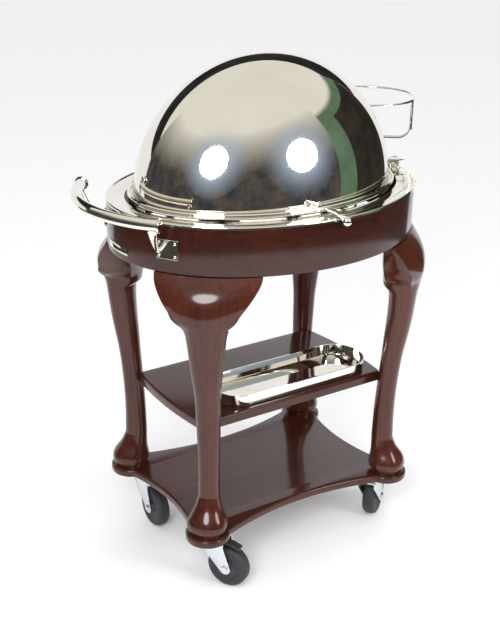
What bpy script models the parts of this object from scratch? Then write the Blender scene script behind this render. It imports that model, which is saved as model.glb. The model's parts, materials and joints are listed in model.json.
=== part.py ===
"""Carving trolley: a mahogany stand on castors with a silver roll-over lid.

Metres, +Z up. X is the long way of the oval top, with the push handle at the -X end,
and the floor is at z = 0.
"""
import math

import bmesh
import bpy
from mathutils import Matrix, Vector

# Fits and joins
gap = 0.0003
running_fit = 0.0005
overrun = 0.004
merge_distance = 0.00001

# Facets of round shapes
oval_facets = 56
pan_facets = 40
round_facets = 24
small_facets = 12
pin_facets = 16
sharp_angle = math.radians(35)
bevel_angle = math.radians(60)

# Oval body
oval_half_x = 0.3676
oval_half_y = 0.2849
apron_wall = 0.020
apron_bottom_z = 0.7657
apron_depth = 0.1050
ring_top_z = apron_bottom_z + apron_depth
ring_thickness = 0.0030
ring_flat_x = 0.0388
ring_flat_y = 0.0464
ring_inner_half_x = oval_half_x - ring_flat_x
ring_inner_half_y = oval_half_y - ring_flat_y
bead_width = 0.0070
bead_rise = 0.0022
bead_lap = 0.0010

# Castors
wheel_radius = 0.050
wheel_width = 0.032
castor_height = 0.133
castor_trail = 0.043
castor_inset_x = 0.028
castor_inset_y = 0.024
hub_radius = 0.029
hub_width = 0.034
hub_boss_share = 1.5
hub_rim_share = 0.86
hub_rim_width_share = 0.94
axle_radius = 0.005
axle_head_radius = 0.0085
axle_head_height = 0.004
fork_inner_width = 0.039
fork_sheet = 0.003
fork_crown_radius = 0.026
fork_crown_drop = 0.0170
fork_crown_z = castor_height - fork_crown_drop
fork_end_radius = 0.014
cheek_start = math.radians(215)
cheek_end = math.radians(385)
small_steps = 8
kingpin_radius = 0.006
kingpin_nut_radius = 0.010
kingpin_nut_height = 0.006
mount_size = 0.062
mount_sheet = 0.0035
race_radius = 0.022
tyre_round = 0.007
pedal_pivot_x = 0.026
pedal_pivot_drop = 0.0245
pedal_pivot_z = castor_height - pedal_pivot_drop
pedal_reach = 0.046
pedal_width = 0.020
pedal_thickness = 0.005
pedal_drop = 0.006
pedal_bend_share = 0.55
pedal_bar_radius = 0.0035
trail_angles = {
    "left_front": math.radians(299),
    "left_back": math.radians(270),
    "right_front": math.radians(34),
    "right_back": math.radians(75),
}
braked_castors = ("left_front", "right_front")

# Legs and shelves
foot_x_share = 0.70185
foot_y_share = 0.63356
foot_x = oval_half_x * foot_x_share
foot_y = oval_half_y * foot_y_share
lobe_radius = 0.0503
bottom_shelf_thickness = 0.019
bottom_shelf_side_draw = 0.0115
bottom_shelf_mid_x = foot_x
bottom_shelf_mid_y = foot_y - bottom_shelf_side_draw
lobe_front_angle = math.radians(153)
lobe_end_angle = math.radians(-68)
shelf_round = 0.004
lobe_steps = 12
edge_steps = 6
corner_cut_share = 0.15
mid_shelf_top_z = 0.4080
mid_shelf_thickness = 0.025
mid_shelf_side_draw = 0.0305
mid_shelf_end_reach = 0.004
mid_shelf_end_bow = 0.013
mid_shelf_half_x = foot_x + mid_shelf_end_reach
mid_shelf_half_y = foot_y - mid_shelf_side_draw
knee_reach = 0.0568
knee_half_width = 0.1118
heel_reach = 0.0400
post_reach = 0.0285
post_half_width = 0.0387
post_height = 0.060

# Lid
rim_reach = 0.0130
lid_gap_x = 0.0058
lid_gap_y = 0.0065
lid_half_x = ring_inner_half_x - rim_reach - lid_gap_x
lid_half_y = ring_inner_half_y - rim_reach - lid_gap_y
lid_rise = 0.2915
lid_sheet = 0.0016
lid_facets = 44
lid_rows = 9
rim_flat = 0.0020
rim_lip_width = 0.0070
rim_lip_height = 0.0120
rim_inner_lap = 0.0040
pivot_rise = 0.0563
pivot_z = ring_top_z + pivot_rise
pivot_pin_radius = 0.005
pivot_head_radius = 0.0085
pivot_head_height = 0.003
bushing_radius = 0.0095
bushing_wall_gap = 0.0014
lever_width = 0.015
lever_thickness = 0.005
lever_lift = 0.0075
lever_clear = 0.0011
lever_knob_reach = 0.0161
lever_over = oval_half_y + lever_clear
lever_knob_radius = 0.011
lever_knob_y = oval_half_y + lever_knob_reach
lever_knob_drop = 0.0007
lever_knob_z = ring_top_z - lever_knob_drop

# Pan under the lid
hanger_setback = 0.026
hanger_face_x = lid_half_x - hanger_setback
pan_end_gap = 0.009
pan_side_gap = 0.029
pan_half_x = hanger_face_x - pan_end_gap
pan_half_y = lid_half_y - pan_side_gap
pan_rim_rise = 0.0013
pan_rim_z = ring_top_z + pan_rim_rise
pan_rim_width = 0.024
pan_depth = 0.060
pan_side_slope = 0.016
pan_sheet = 0.0015
board_end_draw = 0.029
board_side_draw = 0.020
board_half_x = pan_half_x - board_end_draw
board_half_y = pan_half_y - board_side_draw
board_thickness = 0.018
board_round = 0.003
hanger_width = 0.024
hanger_sheet = 0.003
hanger_foot_length = 0.020
hanger_top_rise = 0.010
burner_radius = 0.038
burner_height = 0.034
burner_neck_radius = 0.015
burner_neck_height = 0.012
burner_drop = 0.050
burner_sheet = 0.002
cradle_strip = 0.012
cradle_sheet = 0.002
pan_arm_x = 0.060
pan_arm_width = 0.014
pan_arm_height = 0.016
pan_arm_step = 0.0042
pan_arm_pad = 0.014
pan_arm_clear = 0.002
pan_arm_wall_gap = 0.0007

# Push handle
handle_tube_radius = 0.012
handle_rise = 0.0153
handle_z = ring_top_z + handle_rise
handle_reach = 0.0664
handle_apex_x = oval_half_x + handle_reach
handle_bend_radius = 0.252
handle_half_span = 0.172
handle_points = 22
handle_cap_radius = 0.0155
handle_cap_length = 0.004
cap_dome_share = 0.85
handle_plate_y = 0.133
handle_plate_drop = 0.0527
handle_plate_z = ring_top_z - handle_plate_drop
handle_plate_width = 0.050
handle_plate_height = 0.042
handle_plate_sheet = 0.003
handle_plate_screw_inset = 0.007
screw_radius = 0.0036
screw_rise = 0.0022
arm_foot_radius = 0.0042
arm_top_radius = 0.0095
arm_points = 9
arm_foot_out = 0.0025
arm_foot_drop = 0.004
arm_foot_side = 0.018
arm_bow_share = 0.35

# Plaque, end bracket and end knob
plaque_width = 0.083
plaque_height = 0.015
plaque_sheet = 0.0012
plaque_rise = 0.0223
plaque_z = apron_bottom_z + plaque_rise
plaque_side = -0.006
plaque_steps = 8
end_bracket_front_y = 0.0445
end_bracket_width = 0.033
end_bracket_overhang = 0.0145
end_bracket_height = 0.0205
end_bracket_sheet = 0.003
end_knob_y = 0.086
end_knob_drop = 0.0287
end_knob_z = ring_top_z - end_knob_drop
end_knob_radius = 0.0085
end_knob_length = 0.009
end_knob_stem_radius = 0.003
end_knob_stem_length = 0.010

# Plate ring at the back
plate_ring_reach = 0.0754
plate_ring_x = oval_half_x + plate_ring_reach
plate_ring_y = 0.189
plate_ring_rise = 0.1203
plate_ring_z = ring_top_z + plate_ring_rise
plate_ring_radius = 0.116
plate_wire_radius = 0.003
cradle_wire_radius = 0.0038
plate_ring_facets = 36
cradle_drop = 0.104
cradle_side_drop = 0.068
cradle_bend_points = 6
cradle_bend_share = 0.8
cradle_angle = math.radians(-57.5)
hub_disc_radius = 0.012
hub_disc_height = 0.010
post_radius = 0.006
post_foot_drop = 0.0427
post_foot_z = ring_top_z - post_foot_drop
post_elbow_radius = 0.030
post_plate_width = 0.046
post_plate_height = 0.046
post_plate_sheet = 0.004
post_plate_y = 0.152

# Tray
tray_end_draw = 0.026
tray_side_draw = 0.0118
tray_length_share = 0.77863
tray_width = 0.132
tray_right_x = mid_shelf_half_x - tray_end_draw
tray_left_x = tray_right_x - mid_shelf_half_x * 2 * tray_length_share
tray_front_y = tray_side_draw - mid_shelf_half_y
tray_back_y = tray_front_y + tray_width
tray_height = 0.028
tray_corner = 0.056
tray_base_inset = 0.0022
tray_rim_width = 0.0016
tray_sheet = 0.0014
corner_steps = 5

# Sizes that follow from the ones above
bottom_shelf_top_z = castor_height + gap + bottom_shelf_thickness
leg_bottom_z = bottom_shelf_top_z + gap
leg_top_z = apron_bottom_z - gap
apron_top_z = ring_top_z - ring_thickness - gap
lid_base_z = ring_top_z + gap
diagonal_share = math.sqrt(0.5)

# Leg profile from the foot up: height, front, back and half width as shares of the leg's
# height, knee_reach, heel_reach and knee_half_width, then how far the section follows
# the oval body.
leg_profile_shares = (
    (0.000, 0.66, 0.87, 0.315, 0.0),
    (0.017, 0.66, 0.87, 0.315, 0.0),
    (0.021, 0.78, 1.035, 0.385, 0.0),
    (0.033, 0.805, 1.075, 0.402, 0.0),
    (0.050, 0.775, 1.04, 0.388, 0.0),
    (0.070, 0.66, 1.00, 0.338, 0.0),
    (0.090, 0.50, 0.98, 0.283, 0.0),
    (0.112, 0.36, 0.98, 0.243, 0.0),
    (0.140, 0.24, 0.985, 0.212, 0.0),
    (0.170, 0.215, 0.985, 0.204, 0.0),
    (0.308, 0.21, 0.91, 0.212, 0.0),
    (0.481, 0.36, 0.72, 0.238, 0.0),
    (0.565, 0.51, 0.645, 0.254, 0.0),
    (0.655, 0.67, 0.54, 0.304, 0.0),
    (0.737, 0.77, 0.495, 0.350, 0.0),
    (0.779, 0.825, 0.53, 0.373, 0.1),
    (0.798, 0.87, 0.84, 0.392, 0.3),
    (0.824, 0.92, 0.90, 0.431, 0.6),
    (0.845, 0.975, 0.90, 0.554, 0.9),
    (0.873, 1.00, 0.925, 0.646, 1.0),
    (0.898, 0.985, 0.955, 0.741, 1.0),
    (0.921, 0.93, 0.955, 0.824, 1.0),
    (0.942, 0.84, 0.942, 0.893, 1.0),
    (0.962, 0.71, 0.925, 0.950, 1.0),
    (0.981, 0.55, 0.925, 0.988, 1.0),
    (1.000, 0.37, 0.925, 1.000, 1.0),
)
ear_drop_share = 0.30
section_flat_share = 0.12
section_square_share = 0.70
seat_rounds = 12
front_points = 9
back_points = 7

# Turns that stand a flat outline up: its X and Y become Y and Z, or X and Z
to_side_view = Matrix(((0, 0, 1, 0), (1, 0, 0, 0), (0, 1, 0, 0), (0, 0, 0, 1)))
to_front_view = Matrix(((1, 0, 0, 0), (0, 0, 1, 0), (0, 1, 0, 0), (0, 0, 0, 1)))

corners = {
    "left_front": (-1, -1),
    "left_back": (-1, 1),
    "right_front": (1, -1),
    "right_back": (1, 1),
}


def clear_scene():
    for item in list(bpy.data.objects):
        bpy.data.objects.remove(item, do_unlink=True)


def new_collection(name):
    collection = bpy.data.collections.new(name)
    bpy.context.scene.collection.children.link(collection)
    return collection


clear_scene()
trolley = new_collection("carving_trolley")
cutters = new_collection("cutters")


def surface(name, colour, roughness, metallic):
    material = bpy.data.materials.new(name + "_look")
    material.use_nodes = True
    shader = material.node_tree.nodes["Principled BSDF"]
    shader.inputs["Base Color"].default_value = (*colour, 1)
    shader.inputs["Roughness"].default_value = roughness
    shader.inputs["Metallic"].default_value = metallic
    material.diffuse_color = (*colour, 1)
    return material


def mahogany(name):
    return surface(name, (0.105, 0.030, 0.018), 0.22, 0.0)


def silver(name):
    return surface(name, (0.82, 0.79, 0.72), 0.10, 1.0)


def zinc(name):
    return surface(name, (0.78, 0.80, 0.82), 0.28, 1.0)


def rubber(name):
    return surface(name, (0.055, 0.058, 0.060), 0.62, 0.0)


def black_plastic(name):
    return surface(name, (0.020, 0.020, 0.021), 0.45, 0.0)


def grey_plastic(name):
    return surface(name, (0.150, 0.155, 0.160), 0.40, 0.0)


def pale_wood(name):
    return surface(name, (0.520, 0.350, 0.190), 0.45, 0.0)


def brass(name):
    return surface(name, (0.700, 0.520, 0.230), 0.25, 1.0)


def new_object(name, data, collection=None):
    item = bpy.data.objects.new(name, data)
    (collection or trolley).objects.link(item)
    return item


def finish(item, look):
    """Smooth the round faces, close the seams and give the piece its material."""
    mesh = item.data
    mesh.materials.clear()
    mesh.materials.append(look(item.name))
    mesh.shade_smooth()
    mesh.set_sharp_from_angle(angle=sharp_angle)
    return item


def tidy_mesh(mesh):
    shape = bmesh.new()
    shape.from_mesh(mesh)
    bmesh.ops.remove_doubles(shape, verts=shape.verts, dist=merge_distance)
    bmesh.ops.recalc_face_normals(shape, faces=shape.faces)
    shape.to_mesh(mesh)
    shape.free()


def as_mesh(item):
    """Turn a curve, or a mesh with modifiers, into a plain closed mesh object."""
    bpy.context.view_layer.update()
    graph = bpy.context.evaluated_depsgraph_get()
    mesh = bpy.data.meshes.new_from_object(item.evaluated_get(graph))
    tidy_mesh(mesh)
    name = item.name
    place = item.matrix_world.copy()
    item.name = name + "_source"
    solid = new_object(name, mesh)
    solid.matrix_world = place
    bpy.data.objects.remove(item, do_unlink=True)
    return solid


def bake(item, matrix):
    """Move the mesh itself, so that the object stays at the origin."""
    item.data.transform(matrix)
    item.data.update()
    return item


def combine(base, others, operation):
    """Join or cut with a Boolean and keep the result as one mesh."""
    for other in others:
        step = base.modifiers.new(other.name, "BOOLEAN")
        step.operation = operation
        step.object = other
        step.solver = "EXACT"
    solid = as_mesh(base)
    for other in others:
        bpy.data.objects.remove(other, do_unlink=True)
    return solid


def union(base, *others):
    return combine(base, others, "UNION")


def cut(base, *others):
    return combine(base, others, "DIFFERENCE")


def set_origin(item, point):
    """Put the object's origin on a point without moving the piece."""
    bake(item, Matrix.Translation(-Vector(point)))
    item.location = point
    return item


def bevel(item, width, segments=2):
    step = item.modifiers.new("rounded edges", "BEVEL")
    step.width = width
    step.segments = segments
    step.limit_method = "ANGLE"
    step.angle_limit = bevel_angle
    return as_mesh(item)


def polygon(name, loops, height, base_z=0.0):
    """A flat outline, with any further loops as holes, made a solid of this height."""
    curve = bpy.data.curves.new(name, "CURVE")
    curve.dimensions = "2D"
    curve.fill_mode = "BOTH"
    curve.extrude = height / 2
    for loop in loops:
        line = curve.splines.new("POLY")
        line.points.add(len(loop) - 1)
        for point, (x, y) in zip(line.points, loop):
            point.co = (x, y, 0, 1)
        line.use_cyclic_u = True
    item = as_mesh(new_object(name, curve))
    return bake(item, Matrix.Translation((0, 0, base_z + height / 2)))


def tube(name, points, radius, sides_share=2, radii=None, cyclic=False):
    """A round bar along a line of points."""
    curve = bpy.data.curves.new(name, "CURVE")
    curve.dimensions = "3D"
    curve.bevel_depth = radius
    curve.bevel_resolution = sides_share
    curve.use_fill_caps = not cyclic
    line = curve.splines.new("POLY")
    line.points.add(len(points) - 1)
    for index, place in enumerate(points):
        line.points[index].co = (*place, 1)
        line.points[index].radius = radii[index] if radii else 1.0
    line.use_cyclic_u = cyclic
    return as_mesh(new_object(name, curve))


def swept_oval(name, half_x, half_y, section):
    """A moulding that runs round an oval; the section's x points out, its y up."""
    profile_curve = bpy.data.curves.new(name + "_profile", "CURVE")
    profile_curve.dimensions = "2D"
    profile_curve.fill_mode = "NONE"
    outline = profile_curve.splines.new("POLY")
    outline.points.add(len(section) - 1)
    for point, (x, y) in zip(outline.points, section):
        point.co = (x, y, 0, 1)
    outline.use_cyclic_u = True
    profile = new_object(name + "_profile", profile_curve, cutters)
    path_curve = bpy.data.curves.new(name, "CURVE")
    path_curve.dimensions = "3D"
    path_curve.twist_mode = "Z_UP"
    path_curve.bevel_mode = "OBJECT"
    path_curve.bevel_object = profile
    line = path_curve.splines.new("POLY")
    line.points.add(oval_facets - 1)
    for point, (x, y) in zip(line.points, oval(half_x, half_y)):
        point.co = (x, y, 0, 1)
    line.use_cyclic_u = True
    item = as_mesh(new_object(name, path_curve))
    bpy.data.objects.remove(profile, do_unlink=True)
    return item


def turned(name, profile, facets):
    """A shape turned about Z from a closed profile of (radius, z) points."""
    mesh = bpy.data.meshes.new(name)
    edges = [(index, index + 1) for index in range(len(profile) - 1)]
    mesh.from_pydata([(radius, 0, z) for radius, z in profile], edges, [])
    item = new_object(name, mesh)
    step = item.modifiers.new("turned", "SCREW")
    step.steps = facets
    step.render_steps = facets
    step.use_merge_vertices = True
    step.merge_threshold = merge_distance
    return as_mesh(item)


def cylinder(name, radius, length, facets, place=(0, 0, 0), axis="Z"):
    """A cylinder centred on its place."""
    mesh = bpy.data.meshes.new(name)
    shape = bmesh.new()
    bmesh.ops.create_cone(
        shape, cap_ends=True, segments=facets, radius1=radius, radius2=radius, depth=length
    )
    shape.to_mesh(mesh)
    shape.free()
    turn = {
        "X": Matrix.Rotation(math.pi / 2, 4, "Y"),
        "Y": Matrix.Rotation(math.pi / 2, 4, "X"),
        "Z": Matrix.Identity(4),
    }[axis]
    return bake(new_object(name, mesh), Matrix.Translation(place) @ turn)


def box(name, size, place=(0, 0, 0)):
    """A box centred on its place."""
    mesh = bpy.data.meshes.new(name)
    shape = bmesh.new()
    bmesh.ops.create_cube(shape, size=1)
    shape.to_mesh(mesh)
    shape.free()
    return bake(new_object(name, mesh), Matrix.Translation(place) @ Matrix.Diagonal((*size, 1)))


def domed_head(name, radius, rise, place, turn):
    """A low domed screw head whose flat face lies on its place."""
    mesh = bpy.data.meshes.new(name)
    shape = bmesh.new()
    bmesh.ops.create_uvsphere(
        shape, u_segments=small_steps, v_segments=small_steps // 2, radius=1
    )
    shape.to_mesh(mesh)
    shape.free()
    return bake(
        new_object(name, mesh),
        Matrix.Translation(place) @ turn @ Matrix.Diagonal((radius, radius, rise, 1)),
    )


def oval(half_x, half_y, facets=oval_facets):
    turns = [math.tau * index / facets for index in range(facets)]
    return [(half_x * math.cos(turn), half_y * math.sin(turn)) for turn in turns]


def arc(centre, radius, start, end, steps):
    turns = [start + (end - start) * index / steps for index in range(steps + 1)]
    return [(centre[0] + radius * math.cos(t), centre[1] + radius * math.sin(t)) for t in turns]


def ring_of_points(radius):
    """A small round outline about the origin."""
    return oval(radius, radius, pin_facets)


def round_box(left, right, front, back, corner, inset):
    """A rectangle with round corners, drawn in by the inset."""
    radius = corner - inset
    centres = (
        (right - corner, back - corner, 0),
        (left + corner, back - corner, 1),
        (left + corner, front + corner, 2),
        (right - corner, front + corner, 3),
    )
    outline = []
    for x, y, quarter in centres:
        start = quarter * math.pi / 2
        outline += arc((x, y), radius, start, start + math.pi / 2, corner_steps)
    return outline


def lofted(name, rings, cyclic):
    """Skin a row of rings with equal counts of points; open ends get flat caps."""
    mesh = bpy.data.meshes.new(name)
    shape = bmesh.new()
    loops = [[shape.verts.new(point) for point in ring] for ring in rings]
    pairs = list(zip(loops, loops[1:] + loops[:1])) if cyclic else list(zip(loops, loops[1:]))
    for lower, upper in pairs:
        for index in range(len(lower)):
            after = (index + 1) % len(lower)
            shape.faces.new((lower[index], lower[after], upper[after], upper[index]))
    if not cyclic:
        shape.faces.new(loops[0])
        shape.faces.new(loops[-1])
    bmesh.ops.recalc_face_normals(shape, faces=shape.faces)
    shape.to_mesh(mesh)
    shape.free()
    return new_object(name, mesh)


def wall_frame(half_x, half_y, y, side):
    """The angle, place and outward direction of the oval wall at this y, on the side of X."""
    lean = math.asin(y / half_y)
    place = Vector((side * half_x * math.cos(lean), y, 0))
    outward = Vector((place.x / half_x**2, place.y / half_y**2, 0)).normalized()
    return lean, place, outward


def upright_turn(outward):
    """Turn a shape so that its Z points outward and its Y points up."""
    sideways = Vector((0, 0, 1)).cross(outward)
    return Matrix((sideways, Vector((0, 0, 1)), outward)).transposed().to_4x4()


# Wooden stand


def leg_row_at(height_share):
    """The leg's profile row at this share of its height, between the listed rows."""
    for low, high in zip(leg_profile_shares, leg_profile_shares[1:]):
        if low[0] <= height_share <= high[0]:
            along = (height_share - low[0]) / (high[0] - low[0])
            return [a + (b - a) * along for a, b in zip(low, high)]
    return list(leg_profile_shares[-1])


def leg_height():
    return leg_top_z - leg_bottom_z


def leg_seat_x(z, y):
    """Where a line along X at this height and y meets the leg's inner side."""
    _, front, back, half_width, _ = leg_row_at((z - leg_bottom_z) / leg_height())
    front, back = front * knee_reach, -back * heel_reach
    half_width = half_width * knee_half_width
    start = (front + back) / 2 - section_flat_share * (front - back)
    sideways = 0
    for _ in range(seat_rounds):
        reach = start + (back - start) * math.sqrt(1 - (sideways / half_width) ** 2)
        sideways = (y - foot_y) / diagonal_share - (reach - gap)
    return foot_x + (reach - gap - sideways) * diagonal_share


def oval_reach(sideways):
    """How far out along the leg's diagonal the oval body lies, at this step sideways."""
    x = foot_x - sideways * diagonal_share
    y = foot_y + sideways * diagonal_share
    square = diagonal_share**2 * (1 / oval_half_x**2 + 1 / oval_half_y**2)
    linear = 2 * diagonal_share * (x / oval_half_x**2 + y / oval_half_y**2)
    rest = (x / oval_half_x) ** 2 + (y / oval_half_y) ** 2 - 1
    return (-linear + math.sqrt(linear**2 - 4 * square * rest)) / (2 * square)


def leg_section(front, back, half_width, follow):
    """Points (outward, sideways) round one section of a leg."""
    middle = (front + back) / 2
    flat = section_flat_share * (front - back)
    bulge = front - oval_reach(0)
    points = []
    for index in range(front_points):
        turn = math.pi * (index / (front_points - 1) - 0.5)
        sideways = half_width * math.sin(turn)
        round_front = middle + flat + (front - middle - flat) * math.cos(turn)
        ear = ear_drop_share * (sideways / half_width) ** 2 * abs(bulge)
        shield_front = oval_reach(sideways) + bulge - ear
        points.append((round_front + (shield_front - round_front) * follow, sideways))
    squareness = 1 - section_square_share * follow
    for index in range(back_points):
        turn = math.pi * (0.5 - index / (back_points - 1))
        sideways = half_width * math.sin(turn)
        start = middle - flat
        points.append((start + (back - start) * max(math.cos(turn), 0) ** squareness, sideways))
    return points


def leg_point(outward, sideways, sign_x, sign_y):
    x = foot_x + (outward - sideways) * diagonal_share
    y = foot_y + (outward + sideways) * diagonal_share
    return sign_x * x, sign_y * y


def build_leg(name, sign_x, sign_y):
    rings = []
    for share, front, back, half_width, follow in leg_profile_shares:
        z = leg_bottom_z + share * leg_height()
        section = leg_section(
            front * knee_reach, -back * heel_reach, half_width * knee_half_width, follow
        )
        rings.append([(*leg_point(out, side, sign_x, sign_y), z) for out, side in section])
    post_front = oval_reach(0) - post_reach
    post = leg_section(post_front, -heel_reach, post_half_width, 1.0)
    for z in (leg_top_z, leg_top_z + post_height):
        rings.append([(*leg_point(out, side, sign_x, sign_y), z) for out, side in post])
    leg = lofted(name, rings, cyclic=False)
    set_origin(leg, (sign_x * foot_x, sign_y * foot_y, leg_bottom_z))
    return finish(leg, mahogany)


def bottom_shelf_quarter():
    """The outline from the middle of the back edge round one lobe to the middle of an end."""
    lobe = arc((foot_x, foot_y), lobe_radius, lobe_front_angle, lobe_end_angle, lobe_steps)
    join_x, join_y = lobe[0]
    turn_x, turn_y = lobe[-1]
    side = []
    for index in range(edge_steps):
        along = index / edge_steps
        side.append((join_x * along, bottom_shelf_mid_y + (join_y - bottom_shelf_mid_y) * along**2))
    end = []
    for index in range(edge_steps):
        along = 1 - (index + 1) / edge_steps
        end.append((bottom_shelf_mid_x + (turn_x - bottom_shelf_mid_x) * along**2, turn_y * along))
    return side + lobe + end


def mirrored_outline(quarter):
    """Four quarters of an outline that starts on the Y axis and ends on the X axis."""
    first = quarter
    second = [(x, -y) for x, y in reversed(quarter[:-1])]
    third = [(-x, -y) for x, y in quarter[1:]]
    fourth = [(-x, y) for x, y in reversed(quarter[1:-1])]
    return first + second + third + fourth


def build_bottom_shelf():
    outline = mirrored_outline(bottom_shelf_quarter())
    shelf = polygon("bottom_shelf", [outline], bottom_shelf_thickness, castor_height + gap)
    return finish(bevel(shelf, shelf_round, 1), mahogany)


def build_mid_shelf():
    low_z = mid_shelf_top_z - mid_shelf_thickness
    seat_x = min(leg_seat_x(z, mid_shelf_half_y) for z in (low_z, mid_shelf_top_z))
    end = []
    for index in range(edge_steps):
        along = (index + corner_cut_share) / (edge_steps - 1 + corner_cut_share)
        y = mid_shelf_half_y * (1 - along)
        x = mid_shelf_half_x - mid_shelf_end_bow * (y / mid_shelf_half_y) ** 2
        end.append((min(x, seat_x + mid_shelf_half_y - y), max(y, 0)))
    quarter = [(0, mid_shelf_half_y), (seat_x, mid_shelf_half_y)] + end
    outline = mirrored_outline(quarter)
    shelf = polygon("mid_shelf", [outline], mid_shelf_thickness, low_z)
    return finish(bevel(shelf, shelf_round, 1), mahogany)


def build_apron():
    loops = [
        oval(oval_half_x, oval_half_y),
        oval(oval_half_x - apron_wall, oval_half_y - apron_wall),
    ]
    height = apron_top_z - apron_bottom_z
    return finish(polygon("apron", loops, height, apron_bottom_z), mahogany)


# Silver top


def build_top_ring():
    low = ring_top_z - ring_thickness
    high = ring_top_z + bead_rise
    outer = bead_lap
    inner = bead_lap - bead_width
    half_bead = bead_width / 2
    rings = []
    for half_x, half_y, z in (
        (ring_inner_half_x, ring_inner_half_y, low),
        (ring_inner_half_x, ring_inner_half_y, ring_top_z),
        (oval_half_x + inner, oval_half_y + inner, ring_top_z),
        (oval_half_x + inner + half_bead / 2, oval_half_y + inner + half_bead / 2, high),
        (oval_half_x + outer - half_bead / 2, oval_half_y + outer - half_bead / 2, high),
        (oval_half_x + outer, oval_half_y + outer, ring_top_z),
        (oval_half_x + outer, oval_half_y + outer, low),
    ):
        rings.append([(x, y, z) for x, y in oval(half_x, half_y)])
    return finish(lofted("top_ring", rings, cyclic=True), silver)


def lid_end_x(z, sheet=0):
    """How far out the lid's end wall is on the X axis at this height, or its inner face."""
    rise = (z - dome_base_z()) / (lid_rise - sheet)
    return (lid_half_x - sheet) * math.sqrt(1 - rise**2)


def dome_base_z():
    return lid_base_z + rim_flat + gap


def build_lid_dome():
    mesh = bpy.data.meshes.new("lid_dome")
    shape = bmesh.new()
    bmesh.ops.create_uvsphere(shape, u_segments=lid_facets, v_segments=2 * lid_rows, radius=1)
    below = [vertex for vertex in shape.verts if vertex.co.z < -merge_distance]
    bmesh.ops.delete(shape, geom=below, context="VERTS")
    shape.to_mesh(mesh)
    shape.free()
    lid = new_object("lid_dome", mesh)
    stretch = Matrix.Diagonal((lid_half_x, lid_half_y, lid_rise, 1))
    bake(lid, Matrix.Translation((0, 0, dome_base_z())) @ stretch)
    shell = lid.modifiers.new("sheet", "SOLIDIFY")
    shell.thickness = lid_sheet
    shell.offset = -1
    shell.use_even_offset = True
    lid = as_mesh(lid)
    bores = []
    for side in (-1, 1):
        reach = (side * lid_half_x, 0, pivot_z)
        length = lid_half_x / 2
        bores.append(
            cylinder("bore", pivot_pin_radius + running_fit, length, pin_facets, reach, "X")
        )
    lid = cut(lid, *bores)
    return finish(set_origin(lid, (0, 0, pivot_z)), silver)


def build_lid_rim():
    low = lid_base_z
    flat = low + rim_flat
    lip = low + rim_lip_height
    inner = rim_reach - rim_lip_width
    quarter = rim_lip_width / 4
    section = (
        (-rim_inner_lap, low),
        (rim_reach, low),
        (rim_reach, lip - quarter),
        (rim_reach - quarter, lip),
        (inner + quarter, lip),
        (inner, lip - quarter),
        (inner, flat),
        (-rim_inner_lap, flat),
    )
    rim = swept_oval("lid_rim", lid_half_x, lid_half_y, section)
    return finish(set_origin(rim, (0, 0, pivot_z)), silver)


def lever_start_y():
    return lid_half_y + rim_reach + gap


def build_lid_lever():
    """A flat bar from the rim over the ring and down to the knob."""
    top = lid_base_z + lever_lift + lever_thickness / 2
    low = top - lever_thickness
    end_y = lever_knob_y - lever_knob_radius * diagonal_share
    end_top = lever_knob_z + lever_thickness / 2
    end_low = lever_knob_z - lever_thickness / 2
    side = (
        (-lever_start_y(), low),
        (-lever_over, low),
        (-end_y, end_low),
        (-end_y, end_top),
        (-lever_over - lever_thickness / 2, top),
        (-lever_start_y(), top),
    )
    bar = polygon("lid_lever", [side], lever_width)
    bake(bar, to_side_view @ Matrix.Translation((0, 0, -lever_width / 2)))
    return finish(set_origin(bar, (0, 0, pivot_z)), silver)


def build_lid_knob():
    """A round knob with a flat seat where the lever meets it."""
    mesh = bpy.data.meshes.new("lid_knob")
    shape = bmesh.new()
    bmesh.ops.create_uvsphere(
        shape, u_segments=small_facets, v_segments=small_steps, radius=lever_knob_radius
    )
    seat_y = lever_knob_radius * diagonal_share - gap
    geometry = list(shape.verts) + list(shape.edges) + list(shape.faces)
    found = bmesh.ops.bisect_plane(
        shape, geom=geometry, plane_co=(0, seat_y, 0), plane_no=(0, 1, 0), clear_outer=True
    )
    rim = [part for part in found["geom_cut"] if isinstance(part, bmesh.types.BMEdge)]
    bmesh.ops.edgeloop_fill(shape, edges=rim)
    shape.to_mesh(mesh)
    shape.free()
    knob = new_object("lid_knob", mesh)
    tidy_mesh(mesh)
    bake(knob, Matrix.Translation((0, -lever_knob_y, lever_knob_z)))
    return finish(set_origin(knob, (0, 0, pivot_z)), silver)


def build_bushing(name, side):
    """A sleeve inside the lid's end wall, round the pivot pin."""
    near = hanger_face_x + running_fit
    far = lid_end_x(pivot_z + bushing_radius, lid_sheet) - bushing_wall_gap
    loops = [ring_of_points(bushing_radius), ring_of_points(pivot_pin_radius + running_fit)]
    sleeve = polygon(name, loops, far - near)
    turn = Matrix.Rotation(math.pi / 2, 4, "Y")
    start = near if side > 0 else -far
    bake(sleeve, Matrix.Translation((start, 0, pivot_z)) @ turn)
    return finish(set_origin(sleeve, (0, 0, pivot_z)), silver)


def build_pivot_pin(name, side):
    """A headed pin through the lid's end wall to the hanger inside."""
    inner = hanger_face_x - hanger_sheet
    outer = lid_end_x(pivot_z - pivot_head_radius) + gap
    profile = (
        (0, outer + pivot_head_height),
        (pivot_head_radius * diagonal_share, outer + pivot_head_height),
        (pivot_head_radius, outer + pivot_head_height / 2),
        (pivot_head_radius, outer),
        (pivot_pin_radius, outer),
        (pivot_pin_radius, inner),
        (0, inner),
    )
    pin = turned(name, profile, pin_facets)
    turn = Matrix.Rotation(side * math.pi / 2, 4, "Y")
    bake(pin, Matrix.Translation((0, 0, pivot_z)) @ turn)
    return finish(pin, silver)


# Pan and what it carries


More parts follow.
